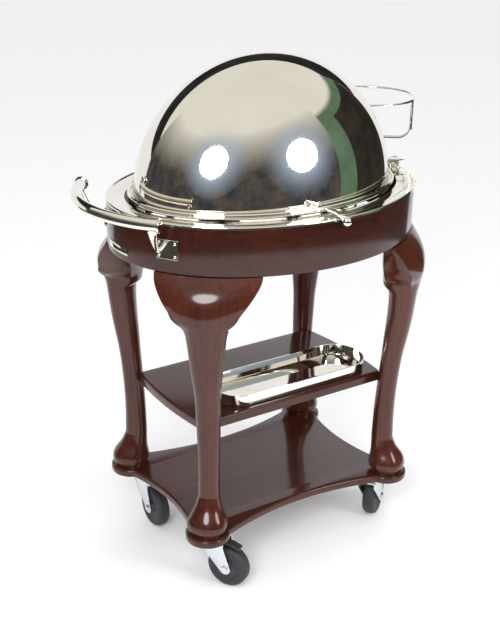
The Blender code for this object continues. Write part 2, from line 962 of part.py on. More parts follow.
def build_pan():
    """An oval pan with a flat rim, open at the top."""
    wall_x = pan_half_x - pan_rim_width
    wall_y = pan_half_y - pan_rim_width
    floor_x = wall_x - pan_side_slope
    floor_y = wall_y - pan_side_slope
    floor_z = pan_rim_z - pan_depth
    rows = (
        (floor_x, floor_y, floor_z + pan_sheet),
        (wall_x, wall_y, pan_rim_z),
        (pan_half_x, pan_half_y, pan_rim_z),
        (pan_half_x, pan_half_y, pan_rim_z - pan_sheet),
        (wall_x + pan_sheet, wall_y + pan_sheet, pan_rim_z - pan_sheet),
        (floor_x + pan_sheet, floor_y + pan_sheet, floor_z),
    )
    rings = [[(x, y, z) for x, y in oval(half_x, half_y, pan_facets)] for half_x, half_y, z in rows]
    return finish(lofted("pan", rings, cyclic=False), silver)


def build_carving_board():
    base_z = pan_rim_z + gap
    outline = oval(board_half_x, board_half_y, pan_facets)
    board = polygon("carving_board", [outline], board_thickness, base_z)
    lift = base_z + board_thickness
    board = bevel(board, board_round, 1)
    set_origin(board, (0, 0, lift))
    return finish(board, pale_wood)


def build_pan_arm(name, side):
    """A bar from the apron's inner wall to a pad under the front of the pan's rim."""
    far_x = pan_arm_x + pan_arm_width / 2
    wall_share = math.sqrt(1 - (far_x / (oval_half_x - apron_wall)) ** 2)
    outer = pan_arm_wall_gap - (oval_half_y - apron_wall) * wall_share
    inner = pan_rim_width - pan_half_y - pan_arm_clear
    pad = inner - pan_arm_pad
    top = pan_rim_z - pan_sheet - gap
    bar_top = top - pan_arm_step
    low = bar_top - pan_arm_height
    section = (
        (outer, low), (inner, low), (inner, top), (pad, top), (pad - pan_arm_step, bar_top),
        (outer, bar_top),
    )
    arm = polygon(name, [section], pan_arm_width)
    start = side * pan_arm_x - pan_arm_width / 2
    bake(arm, Matrix.Translation((start, 0, 0)) @ to_side_view)
    return finish(arm, silver)


def build_hanger(name, side):
    """An angle strap: its upright hangs on the pivot pin and its foot holds the pan's rim."""
    foot_z = pan_rim_z + gap
    face = hanger_face_x
    top_z = pivot_z + pivot_pin_radius + hanger_top_rise
    section = (
        (face - hanger_foot_length, foot_z),
        (face, foot_z),
        (face, top_z),
        (face - hanger_sheet, top_z),
        (face - hanger_sheet, foot_z + hanger_sheet),
        (face - hanger_foot_length, foot_z + hanger_sheet),
    )
    strap = polygon(name, [section], hanger_width)
    bake(strap, to_front_view @ Matrix.Translation((0, 0, -hanger_width / 2)))
    tidy_mesh(strap.data)
    middle = face - hanger_sheet / 2
    bore_radius = pivot_pin_radius + gap
    bore = cylinder(name + "_bore", bore_radius, overrun * 2, pin_facets, (middle, 0, pivot_z), "X")
    strap = cut(strap, bore)
    if side < 0:
        bake(strap, Matrix.Rotation(math.pi, 4, "Z"))
    return finish(strap, silver)


def burner_top_z():
    return pan_rim_z - pan_depth - burner_drop + burner_height


def build_burner():
    """A low spirit burner with a wick neck."""
    top = burner_top_z()
    low = top - burner_height
    neck = top + burner_neck_height
    waist = burner_radius * diagonal_share
    profile = (
        (0, neck),
        (burner_neck_radius, neck),
        (burner_neck_radius, top),
        (waist, top - burner_sheet),
        (burner_radius, top - burner_height / 3),
        (burner_radius, low),
        (0, low),
    )
    return finish(turned("burner", profile, round_facets), brass)


def build_burner_cradle():
    """A strap under the burner, hung from the pan's underside."""
    low = burner_top_z() - burner_height - gap
    high = pan_rim_z - pan_depth - gap
    reach = burner_radius + overrun
    foot = reach + cradle_strip
    sheet = cradle_sheet
    section = (
        (-foot, high),
        (-foot, high - sheet),
        (-reach - sheet, high - sheet),
        (-reach - sheet, low - sheet),
        (reach + sheet, low - sheet),
        (reach + sheet, high - sheet),
        (foot, high - sheet),
        (foot, high),
        (reach, high),
        (reach, low),
        (-reach, low),
        (-reach, high),
    )
    strap = polygon("burner_cradle", [section], cradle_strip)
    bake(strap, to_front_view @ Matrix.Translation((0, 0, -cradle_strip / 2)))
    tidy_mesh(strap.data)
    return finish(strap, brass)


# Push handle


def handle_centre_x():
    return -handle_apex_x + handle_bend_radius


def handle_arc_point(y):
    x = handle_centre_x() - math.sqrt(handle_bend_radius**2 - y**2)
    return Vector((x, y, handle_z))


def handle_end_direction(side):
    """The way the tube points at its end on this side."""
    lean = math.asin(handle_half_span / handle_bend_radius)
    return Vector((math.sin(lean), side * math.cos(lean), 0))


def build_handle_tube():
    lean = math.asin(handle_half_span / handle_bend_radius)
    points = []
    for index in range(1, handle_points - 1):
        turn = -lean + 2 * lean * index / (handle_points - 1)
        x = handle_centre_x() - handle_bend_radius * math.cos(turn)
        points.append((x, handle_bend_radius * math.sin(turn), handle_z))
    for side, at in ((-1, 0), (1, len(points) + 2)):
        end = handle_arc_point(side * handle_half_span)
        straight = end - handle_end_direction(side) * handle_cap_length
        pair = [straight, end] if side > 0 else [end, straight]
        points[at:at] = pair
    return finish(tube("handle_tube", points, handle_tube_radius, 3), silver)


def build_handle_cap(name, side):
    """A domed disc that closes the tube's end."""
    profile = (
        (0, handle_cap_length),
        (handle_cap_radius * diagonal_share, handle_cap_length * cap_dome_share),
        (handle_cap_radius, handle_cap_length / 2),
        (handle_cap_radius, 0),
        (0, 0),
    )
    cap = turned(name, profile, round_facets)
    direction = handle_end_direction(side)
    place = handle_arc_point(side * handle_half_span) + direction * gap
    turn = direction.to_track_quat("Z", "Y").to_matrix().to_4x4()
    bake(cap, Matrix.Translation(place) @ turn)
    return finish(cap, silver)


def plate_frame(side):
    """The place and turn of a handle plate on the oval wall."""
    _, place, outward = wall_frame(oval_half_x, oval_half_y, side * handle_plate_y, -1)
    place = place + Vector((0, 0, handle_plate_z)) + outward * gap
    return place, outward, upright_turn(outward)


def build_handle_plate(name, side):
    """A square plate with four domed screw heads."""
    place, outward, turn = plate_frame(side)
    plate = box(
        name,
        (handle_plate_width, handle_plate_height, handle_plate_sheet),
        (0, 0, handle_plate_sheet / 2),
    )
    heads = []
    for sign_x, sign_y in corners.values():
        x = sign_x * (handle_plate_width / 2 - handle_plate_screw_inset)
        y = sign_y * (handle_plate_height / 2 - handle_plate_screw_inset)
        spot = (x, y, handle_plate_sheet)
        heads.append(domed_head("head", screw_radius, screw_rise, spot, Matrix.Identity(4)))
    plate = union(plate, *heads)
    bake(plate, Matrix.Translation(place) @ turn)
    return finish(plate, silver)


def build_handle_arm(name, side):
    """A tapered arm that springs from the plate and rises under the tube's end."""
    place, outward, turn = plate_frame(side)
    face = handle_plate_sheet + gap
    sideways = Vector((-side * outward.y, side * outward.x, 0))
    foot = place + outward * (face + arm_foot_out) + sideways * arm_foot_side
    foot = foot - Vector((0, 0, arm_foot_drop))
    top = handle_arc_point(side * (handle_half_span - arm_top_radius))
    top = top - Vector((0, 0, handle_tube_radius + gap + arm_top_radius / 4))
    middle = Vector((top.x, top.y, (foot.z + top.z) / 2)).lerp(foot, arm_bow_share)
    points = []
    radii = []
    for index in range(arm_points):
        along = index / (arm_points - 1)
        near = foot.lerp(middle, along)
        far = middle.lerp(top, along)
        points.append(near.lerp(far, along))
        radii.append(1 + (arm_top_radius / arm_foot_radius - 1) * along**2)
    arm = tube(name, points, arm_foot_radius, 3, radii)
    return arm, top, foot


def seat_arm(name, side):
    """Cut the arm square to the tube above and to the plate behind it."""
    arm, top, foot = build_handle_arm(name, side)
    place, outward, turn = plate_frame(side)
    reach = handle_plate_width
    over = box(
        name + "_over",
        (reach, reach, reach),
        (top.x, top.y, handle_z - handle_tube_radius - gap + reach / 2),
    )
    back = handle_plate_sheet + gap - reach / 2
    behind = box(name + "_behind", (reach, reach, reach), (0, 0, back))
    bake(behind, Matrix.Translation(place) @ turn)
    return finish(cut(arm, over, behind), silver)


# Fittings on the body


def build_plaque():
    """A bare plate bent to the end of the oval body."""
    lean = plaque_side / oval_half_y
    spread = plaque_width / 2 / oval_half_y
    inner = []
    outer = []
    for index in range(plaque_steps + 1):
        turn = math.pi + lean - spread + 2 * spread * index / plaque_steps
        for line, lift in ((inner, gap), (outer, gap + plaque_sheet)):
            half_x = oval_half_x + lift
            half_y = oval_half_y + lift
            line.append((half_x * math.cos(turn), half_y * math.sin(turn)))
    outline = inner + outer[::-1]
    plate = polygon("plaque", [outline], plaque_height, plaque_z - plaque_height / 2)
    return finish(plate, silver)


def bead_inner_x(y):
    """How far out the ring's flat runs at this y, up to its raised bead."""
    half_x = oval_half_x + bead_lap - bead_width
    half_y = oval_half_y + bead_lap - bead_width
    return half_x * math.sqrt(1 - (y / half_y) ** 2)


def build_end_bracket():
    """A small flat-topped bench with two legs on the ring, its top reaching over the bead."""
    inner = ring_inner_half_x + gap
    outer = bead_inner_x(end_bracket_front_y) - 2 * running_fit
    low = ring_top_z + gap
    high = low + end_bracket_height
    sheet = end_bracket_sheet
    under = high - sheet
    section = (
        (inner, low),
        (inner + sheet, low),
        (inner + sheet, under),
        (outer - sheet, under),
        (outer - sheet, low),
        (outer, low),
        (outer, under),
        (outer + end_bracket_overhang, under),
        (outer + end_bracket_overhang, high),
        (inner, high),
    )
    bench = polygon("end_bracket", [section], end_bracket_width)
    bake(bench, Matrix.Translation((0, -end_bracket_front_y, 0)) @ to_front_view)
    tidy_mesh(bench.data)
    return finish(bench, silver)


def build_end_knob():
    """A small turned knob on the end of the body."""
    _, place, outward = wall_frame(oval_half_x, oval_half_y, -end_knob_y, 1)
    stem = end_knob_stem_length
    end = stem + end_knob_length
    profile = (
        (0, end),
        (end_knob_radius * diagonal_share, end),
        (end_knob_radius, end - end_knob_length / 4),
        (end_knob_radius, stem + end_knob_length / 4),
        (end_knob_radius * diagonal_share, stem),
        (end_knob_stem_radius, stem),
        (end_knob_stem_radius, 0),
        (0, 0),
    )
    knob = turned("end_knob", profile, small_facets)
    place = place + Vector((0, 0, end_knob_z)) + outward * gap
    bake(knob, Matrix.Translation(place) @ upright_turn(outward))
    return finish(knob, silver)


# Plate ring


def plate_ring_centre():
    return Vector((plate_ring_x, plate_ring_y, plate_ring_z))


def build_plate_ring():
    """The ring with three bent wires that meet on a hub below its middle."""
    centre = plate_ring_centre()
    loop = arc((0, 0), plate_ring_radius, 0, math.tau, plate_ring_facets)[:-1]
    ring = tube("plate_ring", [centre + Vector((x, y, 0)) for x, y in loop], plate_wire_radius,
                1, cyclic=True)
    strands = []
    for turns in (0, 2, 3):
        angle = cradle_angle + turns * math.pi / 2
        out = Vector((math.cos(angle), math.sin(angle), 0))
        points = [centre + out * plate_ring_radius]
        down = Vector((0, 0, -1))
        bend = cradle_drop - cradle_side_drop
        for index in range(cradle_bend_points + 1):
            turn = math.pi / 2 * index / cradle_bend_points
            inward = plate_ring_radius - bend * (1 - math.cos(turn))
            drop = cradle_side_drop + bend * math.sin(turn) * cradle_bend_share
            points.append(centre + out * inward + down * drop)
        points.append(centre + down * cradle_drop)
        strands.append(tube("strand", points, cradle_wire_radius, 1))
    hub = cylinder(
        "hub", hub_disc_radius, hub_disc_height, small_facets,
        centre - Vector((0, 0, cradle_drop)),
    )
    return finish(union(ring, *strands, hub), silver)


def build_plate_post():
    """A bent bar from the plate on the body up to the hub."""
    _, place, outward = wall_frame(oval_half_x, oval_half_y, post_plate_y, 1)
    start = place + Vector((0, 0, post_foot_z)) + outward * (2 * gap + post_plate_sheet)
    top = plate_ring_centre() - Vector((0, 0, cradle_drop + hub_disc_height / 2 + gap))
    corner = Vector((top.x, top.y, post_foot_z))
    leave = (corner - start).normalized()
    points = [start]
    for index in range(cradle_bend_points + 1):
        turn = math.pi / 2 * index / cradle_bend_points
        back = post_elbow_radius * (1 - math.sin(turn))
        rise = post_elbow_radius * (1 - math.cos(turn))
        points.append(corner - leave * back + Vector((0, 0, rise)))
    points.append(top)
    bar = tube("plate_post", points, post_radius, 2)
    cutter = box("post_cutter", (post_plate_width, post_plate_width, post_plate_width),
                 (0, 0, -post_plate_width / 2))
    base = place + Vector((0, 0, post_foot_z)) + outward * (2 * gap + post_plate_sheet)
    bake(cutter, Matrix.Translation(base) @ upright_turn(outward))
    return finish(cut(bar, cutter), silver)


def build_plate_bracket():
    """The back plate that carries the plate ring's bar, with four screw heads."""
    _, place, outward = wall_frame(oval_half_x, oval_half_y, post_plate_y, 1)
    plate = box(
        "plate_bracket",
        (post_plate_width, post_plate_height, post_plate_sheet),
        (0, 0, post_plate_sheet / 2),
    )
    heads = []
    for sign_x, sign_y in corners.values():
        x = sign_x * (post_plate_width / 2 - handle_plate_screw_inset)
        y = sign_y * (post_plate_height / 2 - handle_plate_screw_inset)
        spot = (x, y, post_plate_sheet)
        heads.append(domed_head("head", screw_radius, screw_rise, spot, Matrix.Identity(4)))
    plate = union(plate, *heads)
    place = place + Vector((0, 0, post_foot_z)) + outward * gap
    bake(plate, Matrix.Translation(place) @ upright_turn(outward))
    return finish(plate, silver)


# Tray


def build_tray():
    """A long tray with round corners, an upright wall and a small turned-out rim."""
    base_z = mid_shelf_top_z + gap
    rim_z = base_z + tray_height
    sheet = tray_sheet
    ease_z = base_z + tray_base_inset
    rows = (
        (tray_base_inset + sheet, base_z + sheet),
        (sheet, ease_z + sheet),
        (sheet, rim_z),
        (-tray_rim_width, rim_z),
        (-tray_rim_width, rim_z - sheet),
        (0, rim_z - sheet),
        (0, ease_z),
        (tray_base_inset, base_z),
    )
    rings = []
    for inset, z in rows:
        outline = round_box(
            tray_left_x, tray_right_x, tray_front_y, tray_back_y, tray_corner, inset
        )
        rings.append([(x, y, z) for x, y in outline])
    return finish(lofted("tray", rings, cyclic=False), silver)


# Castors


def mesh_of(item):
    """Keep the mesh and drop the object that it was built on."""
    mesh = item.data
    bpy.data.objects.remove(item, do_unlink=True)
    return mesh


def build_mount_mesh():
    """Top plate, bearing race and kingpin, in one piece; the floor is at z = 0."""
    race_low = fork_crown_z + fork_sheet + gap
    plate_low = castor_height - mount_sheet
    plate = box(
        "castor_mount",
        (mount_size, mount_size, mount_sheet),
        (0, 0, castor_height - mount_sheet / 2),
    )
    plate = bevel(plate, mount_sheet / 4, 1)
    nut_top = fork_crown_z - gap
    profile = (
        (0, plate_low + mount_sheet / 2),
        (race_radius, plate_low + mount_sheet / 2),
        (race_radius, race_low),
        (kingpin_radius, race_low),
        (kingpin_radius, nut_top),
        (kingpin_nut_radius, nut_top),
        (kingpin_nut_radius, nut_top - kingpin_nut_height),
        (0, nut_top - kingpin_nut_height),
    )
    race = turned("race", profile, pin_facets)
    return mesh_of(finish(union(plate, race), zinc))


def cheek_outline():
    """The side of the fork: wide under the crown and round at the axle."""
    back = -fork_crown_radius
    top = fork_crown_z + fork_sheet
    shoulder = fork_crown_z - fork_crown_radius / 2
    end = arc(
        (castor_trail, wheel_radius), fork_end_radius, cheek_start, cheek_end, small_steps
    )
    front = castor_trail - fork_end_radius / 3
    return [(back, top), (back, shoulder)] + end + [(front, shoulder), (front, top)]


def build_fork_mesh():
    """Crown, two cheeks and the axle bolt, in one piece."""
    bore = ring_of_points(kingpin_radius + running_fit)
    half = fork_inner_width / 2 + fork_sheet
    front = castor_trail - fork_end_radius / 3
    plan = [
        (-fork_crown_radius, -half), (front, -half), (front, half), (-fork_crown_radius, half)
    ]
    crown = polygon("castor_fork", [plan, bore], fork_sheet, fork_crown_z)
    pieces = []
    for side in (-1, 1):
        cheek = polygon("cheek", [cheek_outline()], fork_sheet)
        start = fork_inner_width / 2 if side > 0 else -fork_inner_width / 2 - fork_sheet
        bake(cheek, Matrix.Translation((0, start, 0)) @ to_front_view)
        tidy_mesh(cheek.data)
        pieces.append(cheek)
    axle_length = fork_inner_width + 2 * fork_sheet + axle_head_height
    centre = (castor_trail, 0, wheel_radius)
    pieces.append(cylinder("axle", axle_radius, axle_length, pin_facets, centre, "Y"))
    for side in (-1, 1):
        y = side * (half + axle_head_height / 2)
        spot = (castor_trail, y, wheel_radius)
        pieces.append(
            cylinder("bolt_head", axle_head_radius, axle_head_height + gap, 6, spot, "Y")
        )
    return mesh_of(finish(union(crown, *pieces), zinc))


def build_tyre_mesh():
    """A tyre with rounded shoulders, turned about its axle."""
    half = wheel_width / 2
    inner = hub_radius + gap
    edge = wheel_radius - tyre_round
    soft = tyre_round * (1 - diagonal_share)
    profile = (
        (inner, half),
        (edge, half),
        (wheel_radius - soft, half - soft),
        (wheel_radius, half - tyre_round),
        (wheel_radius, tyre_round - half),
        (wheel_radius - soft, soft - half),
        (edge, -half),
        (inner, -half),
        (inner, half),
    )
    tyre = turned("castor_tyre", profile, round_facets)
    bake(tyre, Matrix.Rotation(math.pi / 2, 4, "X"))
    return mesh_of(finish(tyre, rubber))


def build_hub_mesh():
    """A wheel centre with a boss on each side and a bore for the axle."""
    half = hub_width / 2
    web = wheel_width / 4
    boss = axle_head_radius * hub_boss_share
    bore = axle_radius + running_fit
    outer = hub_radius
    rim = outer * hub_rim_share
    rim_half = wheel_width / 2 * hub_rim_width_share
    profile = (
        (bore, half),
        (boss, half),
        (boss, web),
        (rim, web),
        (rim, rim_half),
        (outer, rim_half),
        (outer, -rim_half),
        (rim, -rim_half),
        (rim, -web),
        (boss, -web),
        (boss, -half),
        (bore, -half),
        (bore, half),
    )
    hub = turned("castor_hub", profile, pin_facets)
    bake(hub, Matrix.Rotation(math.pi / 2, 4, "X"))
    return mesh_of(finish(hub, grey_plastic))


def build_pedal_mesh():
    """A foot pedal on a cross bar; the bar's axis is the mesh's origin."""
    low = -pedal_thickness / 2
    high = pedal_thickness / 2
    side = (
        (0, low),
        (pedal_reach * pedal_bend_share, low),
        (pedal_reach, low - pedal_drop),
        (pedal_reach, high - pedal_drop),
        (pedal_reach * pedal_bend_share, high),
        (0, high),
    )
    plate = polygon("castor_pedal", [side], pedal_width)
    bake(plate, to_front_view @ Matrix.Translation((0, 0, -pedal_width / 2)))
    tidy_mesh(plate.data)
    length = fork_inner_width - 2 * gap
    bar = cylinder("bar", pedal_bar_radius, length, small_facets, (0, 0, 0), "Y")
    return mesh_of(finish(union(plate, bar), black_plastic))


def build_castors(place):
    """Four swivel castors under the lobes of the bottom shelf."""
    shapes = {
        "mount": build_mount_mesh(),
        "fork": build_fork_mesh(),
        "tyre": build_tyre_mesh(),
        "hub": build_hub_mesh(),
        "pedal": build_pedal_mesh(),
    }
    for corner, (sign_x, sign_y) in corners.items():
        swivel = bpy.data.objects.new("castor_" + corner, None)
        trolley.objects.link(swivel)
        swivel.parent = place
        x = sign_x * (foot_x - castor_inset_x)
        y = sign_y * (foot_y - castor_inset_y)
        swivel.location = (x, y, 0)
        swivel.rotation_euler = (0, 0, trail_angles[corner])
        spots = {
            "fork": (0, 0, 0),
            "tyre": (castor_trail, 0, wheel_radius),
            "hub": (castor_trail, 0, wheel_radius),
        }
        if corner in braked_castors:
            spots["pedal"] = (pedal_pivot_x, 0, pedal_pivot_z)
        for part, spot in spots.items():
            item = new_object("castor_" + part + "_" + corner, shapes[part])
            item.parent = swivel
            item.location = spot
        mount = new_object("castor_mount_" + corner, shapes["mount"])
        mount.parent = place
        mount.location = swivel.location


def build_body():
    pieces = [build_bottom_shelf(), build_mid_shelf(), build_apron(), build_top_ring()]
    for corner, (sign_x, sign_y) in corners.items():
        pieces.append(build_leg("leg_" + corner, sign_x, sign_y))
    return pieces


def build_lid():
    pieces = [build_lid_dome(), build_lid_rim(), build_lid_lever(), build_lid_knob()]
    for name, side in (("left", -1), ("right", 1)):
        pieces.append(build_bushing("lid_bushing_" + name, side))
    return pieces


def build_pan_group():
    pieces = [build_pan(), build_carving_board(), build_burner(), build_burner_cradle()]
    for name, side in (("left", -1), ("right", 1)):
        pieces.append(build_pan_arm("pan_arm_" + name, side))
        pieces.append(build_pivot_pin("pivot_pin_" + name, side))
        pieces.append(build_hanger("pan_hanger_" + name, side))
    return pieces


def build_fittings():
    pieces = [build_handle_tube(), build_plaque(), build_end_bracket(), build_end_knob()]
    pieces += [build_plate_ring(), build_plate_post(), build_plate_bracket(), build_tray()]
    for name, side in (("front", -1), ("back", 1)):
        pieces.append(build_handle_cap("handle_cap_" + name, side))
        pieces.append(build_handle_plate("handle_plate_" + name, side))
        pieces.append(seat_arm("handle_arm_" + name, side))
    return pieces


def trolley_shift():
    """Where the body's middle stands, so that the whole object is centred over the origin."""
    right = plate_ring_x + plate_ring_radius + plate_wire_radius
    left = -handle_apex_x - handle_tube_radius
    back = plate_ring_y + plate_ring_radius + plate_wire_radius
    front = -lever_knob_y - lever_knob_radius
    return (-(left + right) / 2, -(front + back) / 2, 0)


def build_trolley():
    place = bpy.data.objects.new("trolley_place", None)
    trolley.objects.link(place)
    place.location = trolley_shift()
    for piece in build_body() + build_lid() + build_pan_group() + build_fittings():
        piece.parent = place
    build_castors(place)
    bpy.context.view_layer.update()


build_trolley()
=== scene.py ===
"""Carving trolley: the visible pieces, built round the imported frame, in metres with +Z up."""

import json
import math

import bpy
from mathutils import Matrix, Vector


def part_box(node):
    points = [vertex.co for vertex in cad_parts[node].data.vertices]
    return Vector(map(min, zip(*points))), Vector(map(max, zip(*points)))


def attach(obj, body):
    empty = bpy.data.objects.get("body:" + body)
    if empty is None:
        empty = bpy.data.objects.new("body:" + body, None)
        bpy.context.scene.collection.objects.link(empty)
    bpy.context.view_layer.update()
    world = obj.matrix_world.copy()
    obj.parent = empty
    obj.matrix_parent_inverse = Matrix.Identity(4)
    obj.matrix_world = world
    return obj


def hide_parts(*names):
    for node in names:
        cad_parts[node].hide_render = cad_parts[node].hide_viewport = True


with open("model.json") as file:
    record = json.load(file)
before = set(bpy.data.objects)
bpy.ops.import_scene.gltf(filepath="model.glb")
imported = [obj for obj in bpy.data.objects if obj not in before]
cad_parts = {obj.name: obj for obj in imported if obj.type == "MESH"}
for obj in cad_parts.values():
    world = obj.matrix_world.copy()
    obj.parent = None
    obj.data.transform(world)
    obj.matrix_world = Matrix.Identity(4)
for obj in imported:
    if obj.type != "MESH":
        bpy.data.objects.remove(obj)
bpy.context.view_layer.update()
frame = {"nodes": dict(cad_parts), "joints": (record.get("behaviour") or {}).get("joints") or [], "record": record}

bl_info = {
    "name": "Carving trolley",
    "version": (1, 0, 0),
    "blender": (4, 5, 0),
    "location": "3D View > Sidebar > Trolley",
    "description": "Builds the visible pieces of a carving trolley round its packed frame",
    "category": "Object",
}

record = frame["record"]
bodies = record["behaviour"]["bodies"]
body_of = {node: body for body, members in bodies.items() for node in members}
joint_of = {joint["name"]: joint for joint in frame["joints"]}
corners = ("left_front", "left_back", "right_front", "right_back")
upward = Vector((0, 0, 1))
mm = 0.001
diagonal_share = math.sqrt(0.5)
hairline = 0.0003


def half_sizes(low, high):
    return (high.x - low.x) / 2, (high.y - low.y) / 2


def floor_middle(low, high):
    return Vector(((low.x + high.x) / 2, (low.y + high.y) / 2, 0))


# The oval body's middle, and its outer half sizes, as the frame has them
apron_low, apron_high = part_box("apron")
body_middle = floor_middle(apron_low, apron_high)
body_half_x, body_half_y = half_sizes(apron_low, apron_high)


# Properties


def length(name, description, default):
    return bpy.props.FloatProperty(
        name=name, description=description, default=default, min=0.0, unit="LENGTH"
    )


def tint(name, description, *default):
    return bpy.props.FloatVectorProperty(
        name=name, description=description, default=default, min=0.0, max=1.0, subtype="COLOR"
    )


class TrolleySizes(bpy.types.PropertyGroup):
    """Sizes that shape the visible pieces."""

    apron_wall: length("Apron wall", "Thickness of the oval body's wall", 0.020)
    apron_round: length("Apron edge", "Round on the apron's lower edge", 0.0022)
    strand_radius: length("Plate ring strands", "Radius of the strands under the ring", 0.0038)
    ring_inner_x: length("Ring inner length", "Half length of the opening in the top ring", 0.3288)
    ring_inner_y: length("Ring inner width", "Half width of the opening in the top ring", 0.2385)
    bead_width: length("Bead width", "Width of the raised bead round the top ring", 0.0070)
    lid_half_x: length("Lid length", "Half length of the dome at its foot", 0.310)
    lid_half_y: length("Lid width", "Half width of the dome at its foot", 0.219)
    lid_sheet: length("Lid sheet", "Thickness of the dome's sheet", 0.0016)
    shelf_round: length("Shelf edge", "Round on the shelves' edges", 0.0050)
    sheet_edge: length("Sheet edge", "Round on the edges of thin metal", 0.0004)
    handle_radius: length("Handle tube", "Radius of the push handle's tube", 0.012)
    wire_radius: length("Plate ring wire", "Radius of the plate ring's wire", 0.003)


class TrolleyColours(bpy.types.PropertyGroup):
    """Colours of the finishes."""

    wood_light: tint("Mahogany, light", "Light streaks of the stained wood", 0.074, 0.0160, 0.0072)
    wood_dark: tint("Mahogany, dark", "Dark streaks of the stained wood", 0.018, 0.0048, 0.0028)
    silver: tint("Silver plate", "Polished silver plate", 0.90, 0.875, 0.81)
    tarnish: tint("Silver tarnish", "Faint tone of handled silver", 0.84, 0.80, 0.70)
    zinc: tint("Zinc plate", "Bright plating of the castors", 0.74, 0.76, 0.79)
    rubber: tint("Tyre rubber", "Grey rubber of the tyres", 0.026, 0.027, 0.029)
    hub_plastic: tint("Hub plastic", "Plastic of the wheel centres", 0.042, 0.043, 0.046)
    pedal_plastic: tint("Pedal plastic", "Plastic of the brake pedals", 0.020, 0.020, 0.022)
    board_wood: tint("Board wood", "Pale wood of the carving board", 0.50, 0.31, 0.155)
    brass: tint("Brass", "Brass of the burner", 0.72, 0.50, 0.20)
    floor: tint("Floor", "Plain pale floor", 0.93, 0.93, 0.935)


def given(context):
    """The sizes and the colours that the panel lists."""
    return context.scene.trolley_sizes, context.scene.trolley_colours


# Working by hand


def start_fresh():
    if bpy.context.mode != "OBJECT":
        bpy.ops.object.mode_set(mode="OBJECT")
    bpy.ops.object.select_all(action="DESELECT")


def take(piece):
    """Make one piece the selected and active one."""
    start_fresh()
    piece.select_set(True)
    bpy.context.view_layer.objects.active = piece


def named(name):
    piece = bpy.context.object
    piece.name = name
    piece.data.name = name
    return piece


def new_object(name, data):
    made = bpy.data.objects.new(name, data)
    bpy.context.scene.collection.objects.link(made)
    return made


def select_mesh(action="SELECT"):
    bpy.ops.mesh.select_all(action=action)


def edit_all():
    bpy.ops.object.mode_set(mode="EDIT")
    bpy.ops.mesh.select_mode(type="VERT")
    select_mesh()


def faces_outward():
    select_mesh()
    bpy.ops.mesh.remove_doubles(threshold=0.000001)
    bpy.ops.mesh.normals_make_consistent(inside=False)
    bpy.ops.object.mode_set(mode="OBJECT")


def smooth(piece, degrees=32):
    take(piece)
    bpy.ops.object.shade_smooth_by_angle(angle=math.radians(degrees))
    return piece


def moved(piece, matrix):
    """Place a piece by moving its mesh, so that its object stays at the origin."""
    piece.data.transform(matrix)
    piece.data.update()
    return piece


def join(pieces, name):
    take(pieces[0])
    for piece in pieces[1:]:
        piece.select_set(True)
    bpy.ops.object.join()
    return named(name)


def modify(piece, kind, **settings):
    """Add a modifier with these settings and apply it."""
    take(piece)
    step = piece.modifiers.new(kind.lower(), kind)
    for key, value in settings.items():
        setattr(step, key, value)
    bpy.ops.object.modifier_apply(modifier=step.name)


def ring_walls(name, rows, facets=96, corner=0.0, ends="bridge"):
    """Extrude an oval, or a rectangle with round corners, through rows of half sizes and height.

    The two ends are bridged to a hollow ring, or capped.
    """
    start_fresh()
    half_x, half_y, height = rows[0]
    if corner:
        bpy.ops.mesh.primitive_plane_add(size=2)
    else:
        bpy.ops.mesh.primitive_circle_add(vertices=facets, radius=1)
    piece = named(name)
    edit_all()
    bpy.ops.transform.resize(value=(half_x, half_y, 1), center_override=(0, 0, 0))
    if corner:
        bpy.ops.mesh.bevel(offset=corner, segments=facets // 4, affect="VERTICES")
        select_mesh()
        bpy.ops.mesh.delete(type="ONLY_FACE")
        select_mesh()
    bpy.ops.transform.translate(value=(0, 0, height))
    for before, after in zip(rows, rows[1:]):
        step = {"value": (0, 0, after[2] - before[2])}
        bpy.ops.mesh.extrude_edges_move(TRANSFORM_OT_translate=step)
        ratio = (after[0] / before[0], after[1] / before[1], 1)
        bpy.ops.transform.resize(value=ratio, center_override=(0, 0, after[2]))
    if ends == "bridge":
        select_mesh("DESELECT")
        bpy.ops.mesh.select_non_manifold(use_wire=False, use_multi_face=False,
                                         use_non_contiguous=False, use_verts=False)
        bpy.ops.mesh.bridge_edge_loops()
    else:
        select_mesh()
        bpy.ops.mesh.fill_holes(sides=0)
    faces_outward()
    return smooth(piece)


def turned(name, profile, facets=48, ends="cap"):
    """A shape turned about Z from rows of radius and height."""
    return ring_walls(name, [(radius, radius, height) for radius, height in profile], facets,
                      ends=ends)


def metres(rows):
    return [(first * mm, second * mm) for first, second in rows]


def both_sides(rows):
    """A wheel's whole profile, from rows of radius and half width for one side."""
    near = [(radius, -width) for radius, width in rows]
    return metres(near + [(radius, width) for radius, width in reversed(rows) if width])


def from_curve(name, loops, closed, radii=None, **settings):
    """A mesh from a curve with these settings that runs along one or more loops of points."""
    start_fresh()
    curve = bpy.data.curves.new(name, "CURVE")
    for key, value in settings.items():
        setattr(curve, key, value)
    for loop in loops:
        line = curve.splines.new("POLY")
        line.points.add(len(loop) - 1)
        for index, place in enumerate(loop):
            line.points[index].co = (*place, 1)
            line.points[index].radius = radii[index] if radii else 1.0
        line.use_cyclic_u = closed
    take(new_object(name, curve))
    bpy.ops.object.convert(target="MESH")
    return named(name)


def flat_shape(name, outline, low, high, edge):
    """A flat outline made solid between two heights, with rounded edges."""
    piece = from_curve(name, [[(x, y, 0) for x, y in outline]], True, dimensions="2D",
                       fill_mode="BOTH", extrude=(high - low) / 2 - edge, bevel_depth=edge,
                       bevel_resolution=3, offset=-edge)
    moved(piece, Matrix.Translation(upward * (low + high) / 2))
    edit_all()
    faces_outward()
    return smooth(piece)


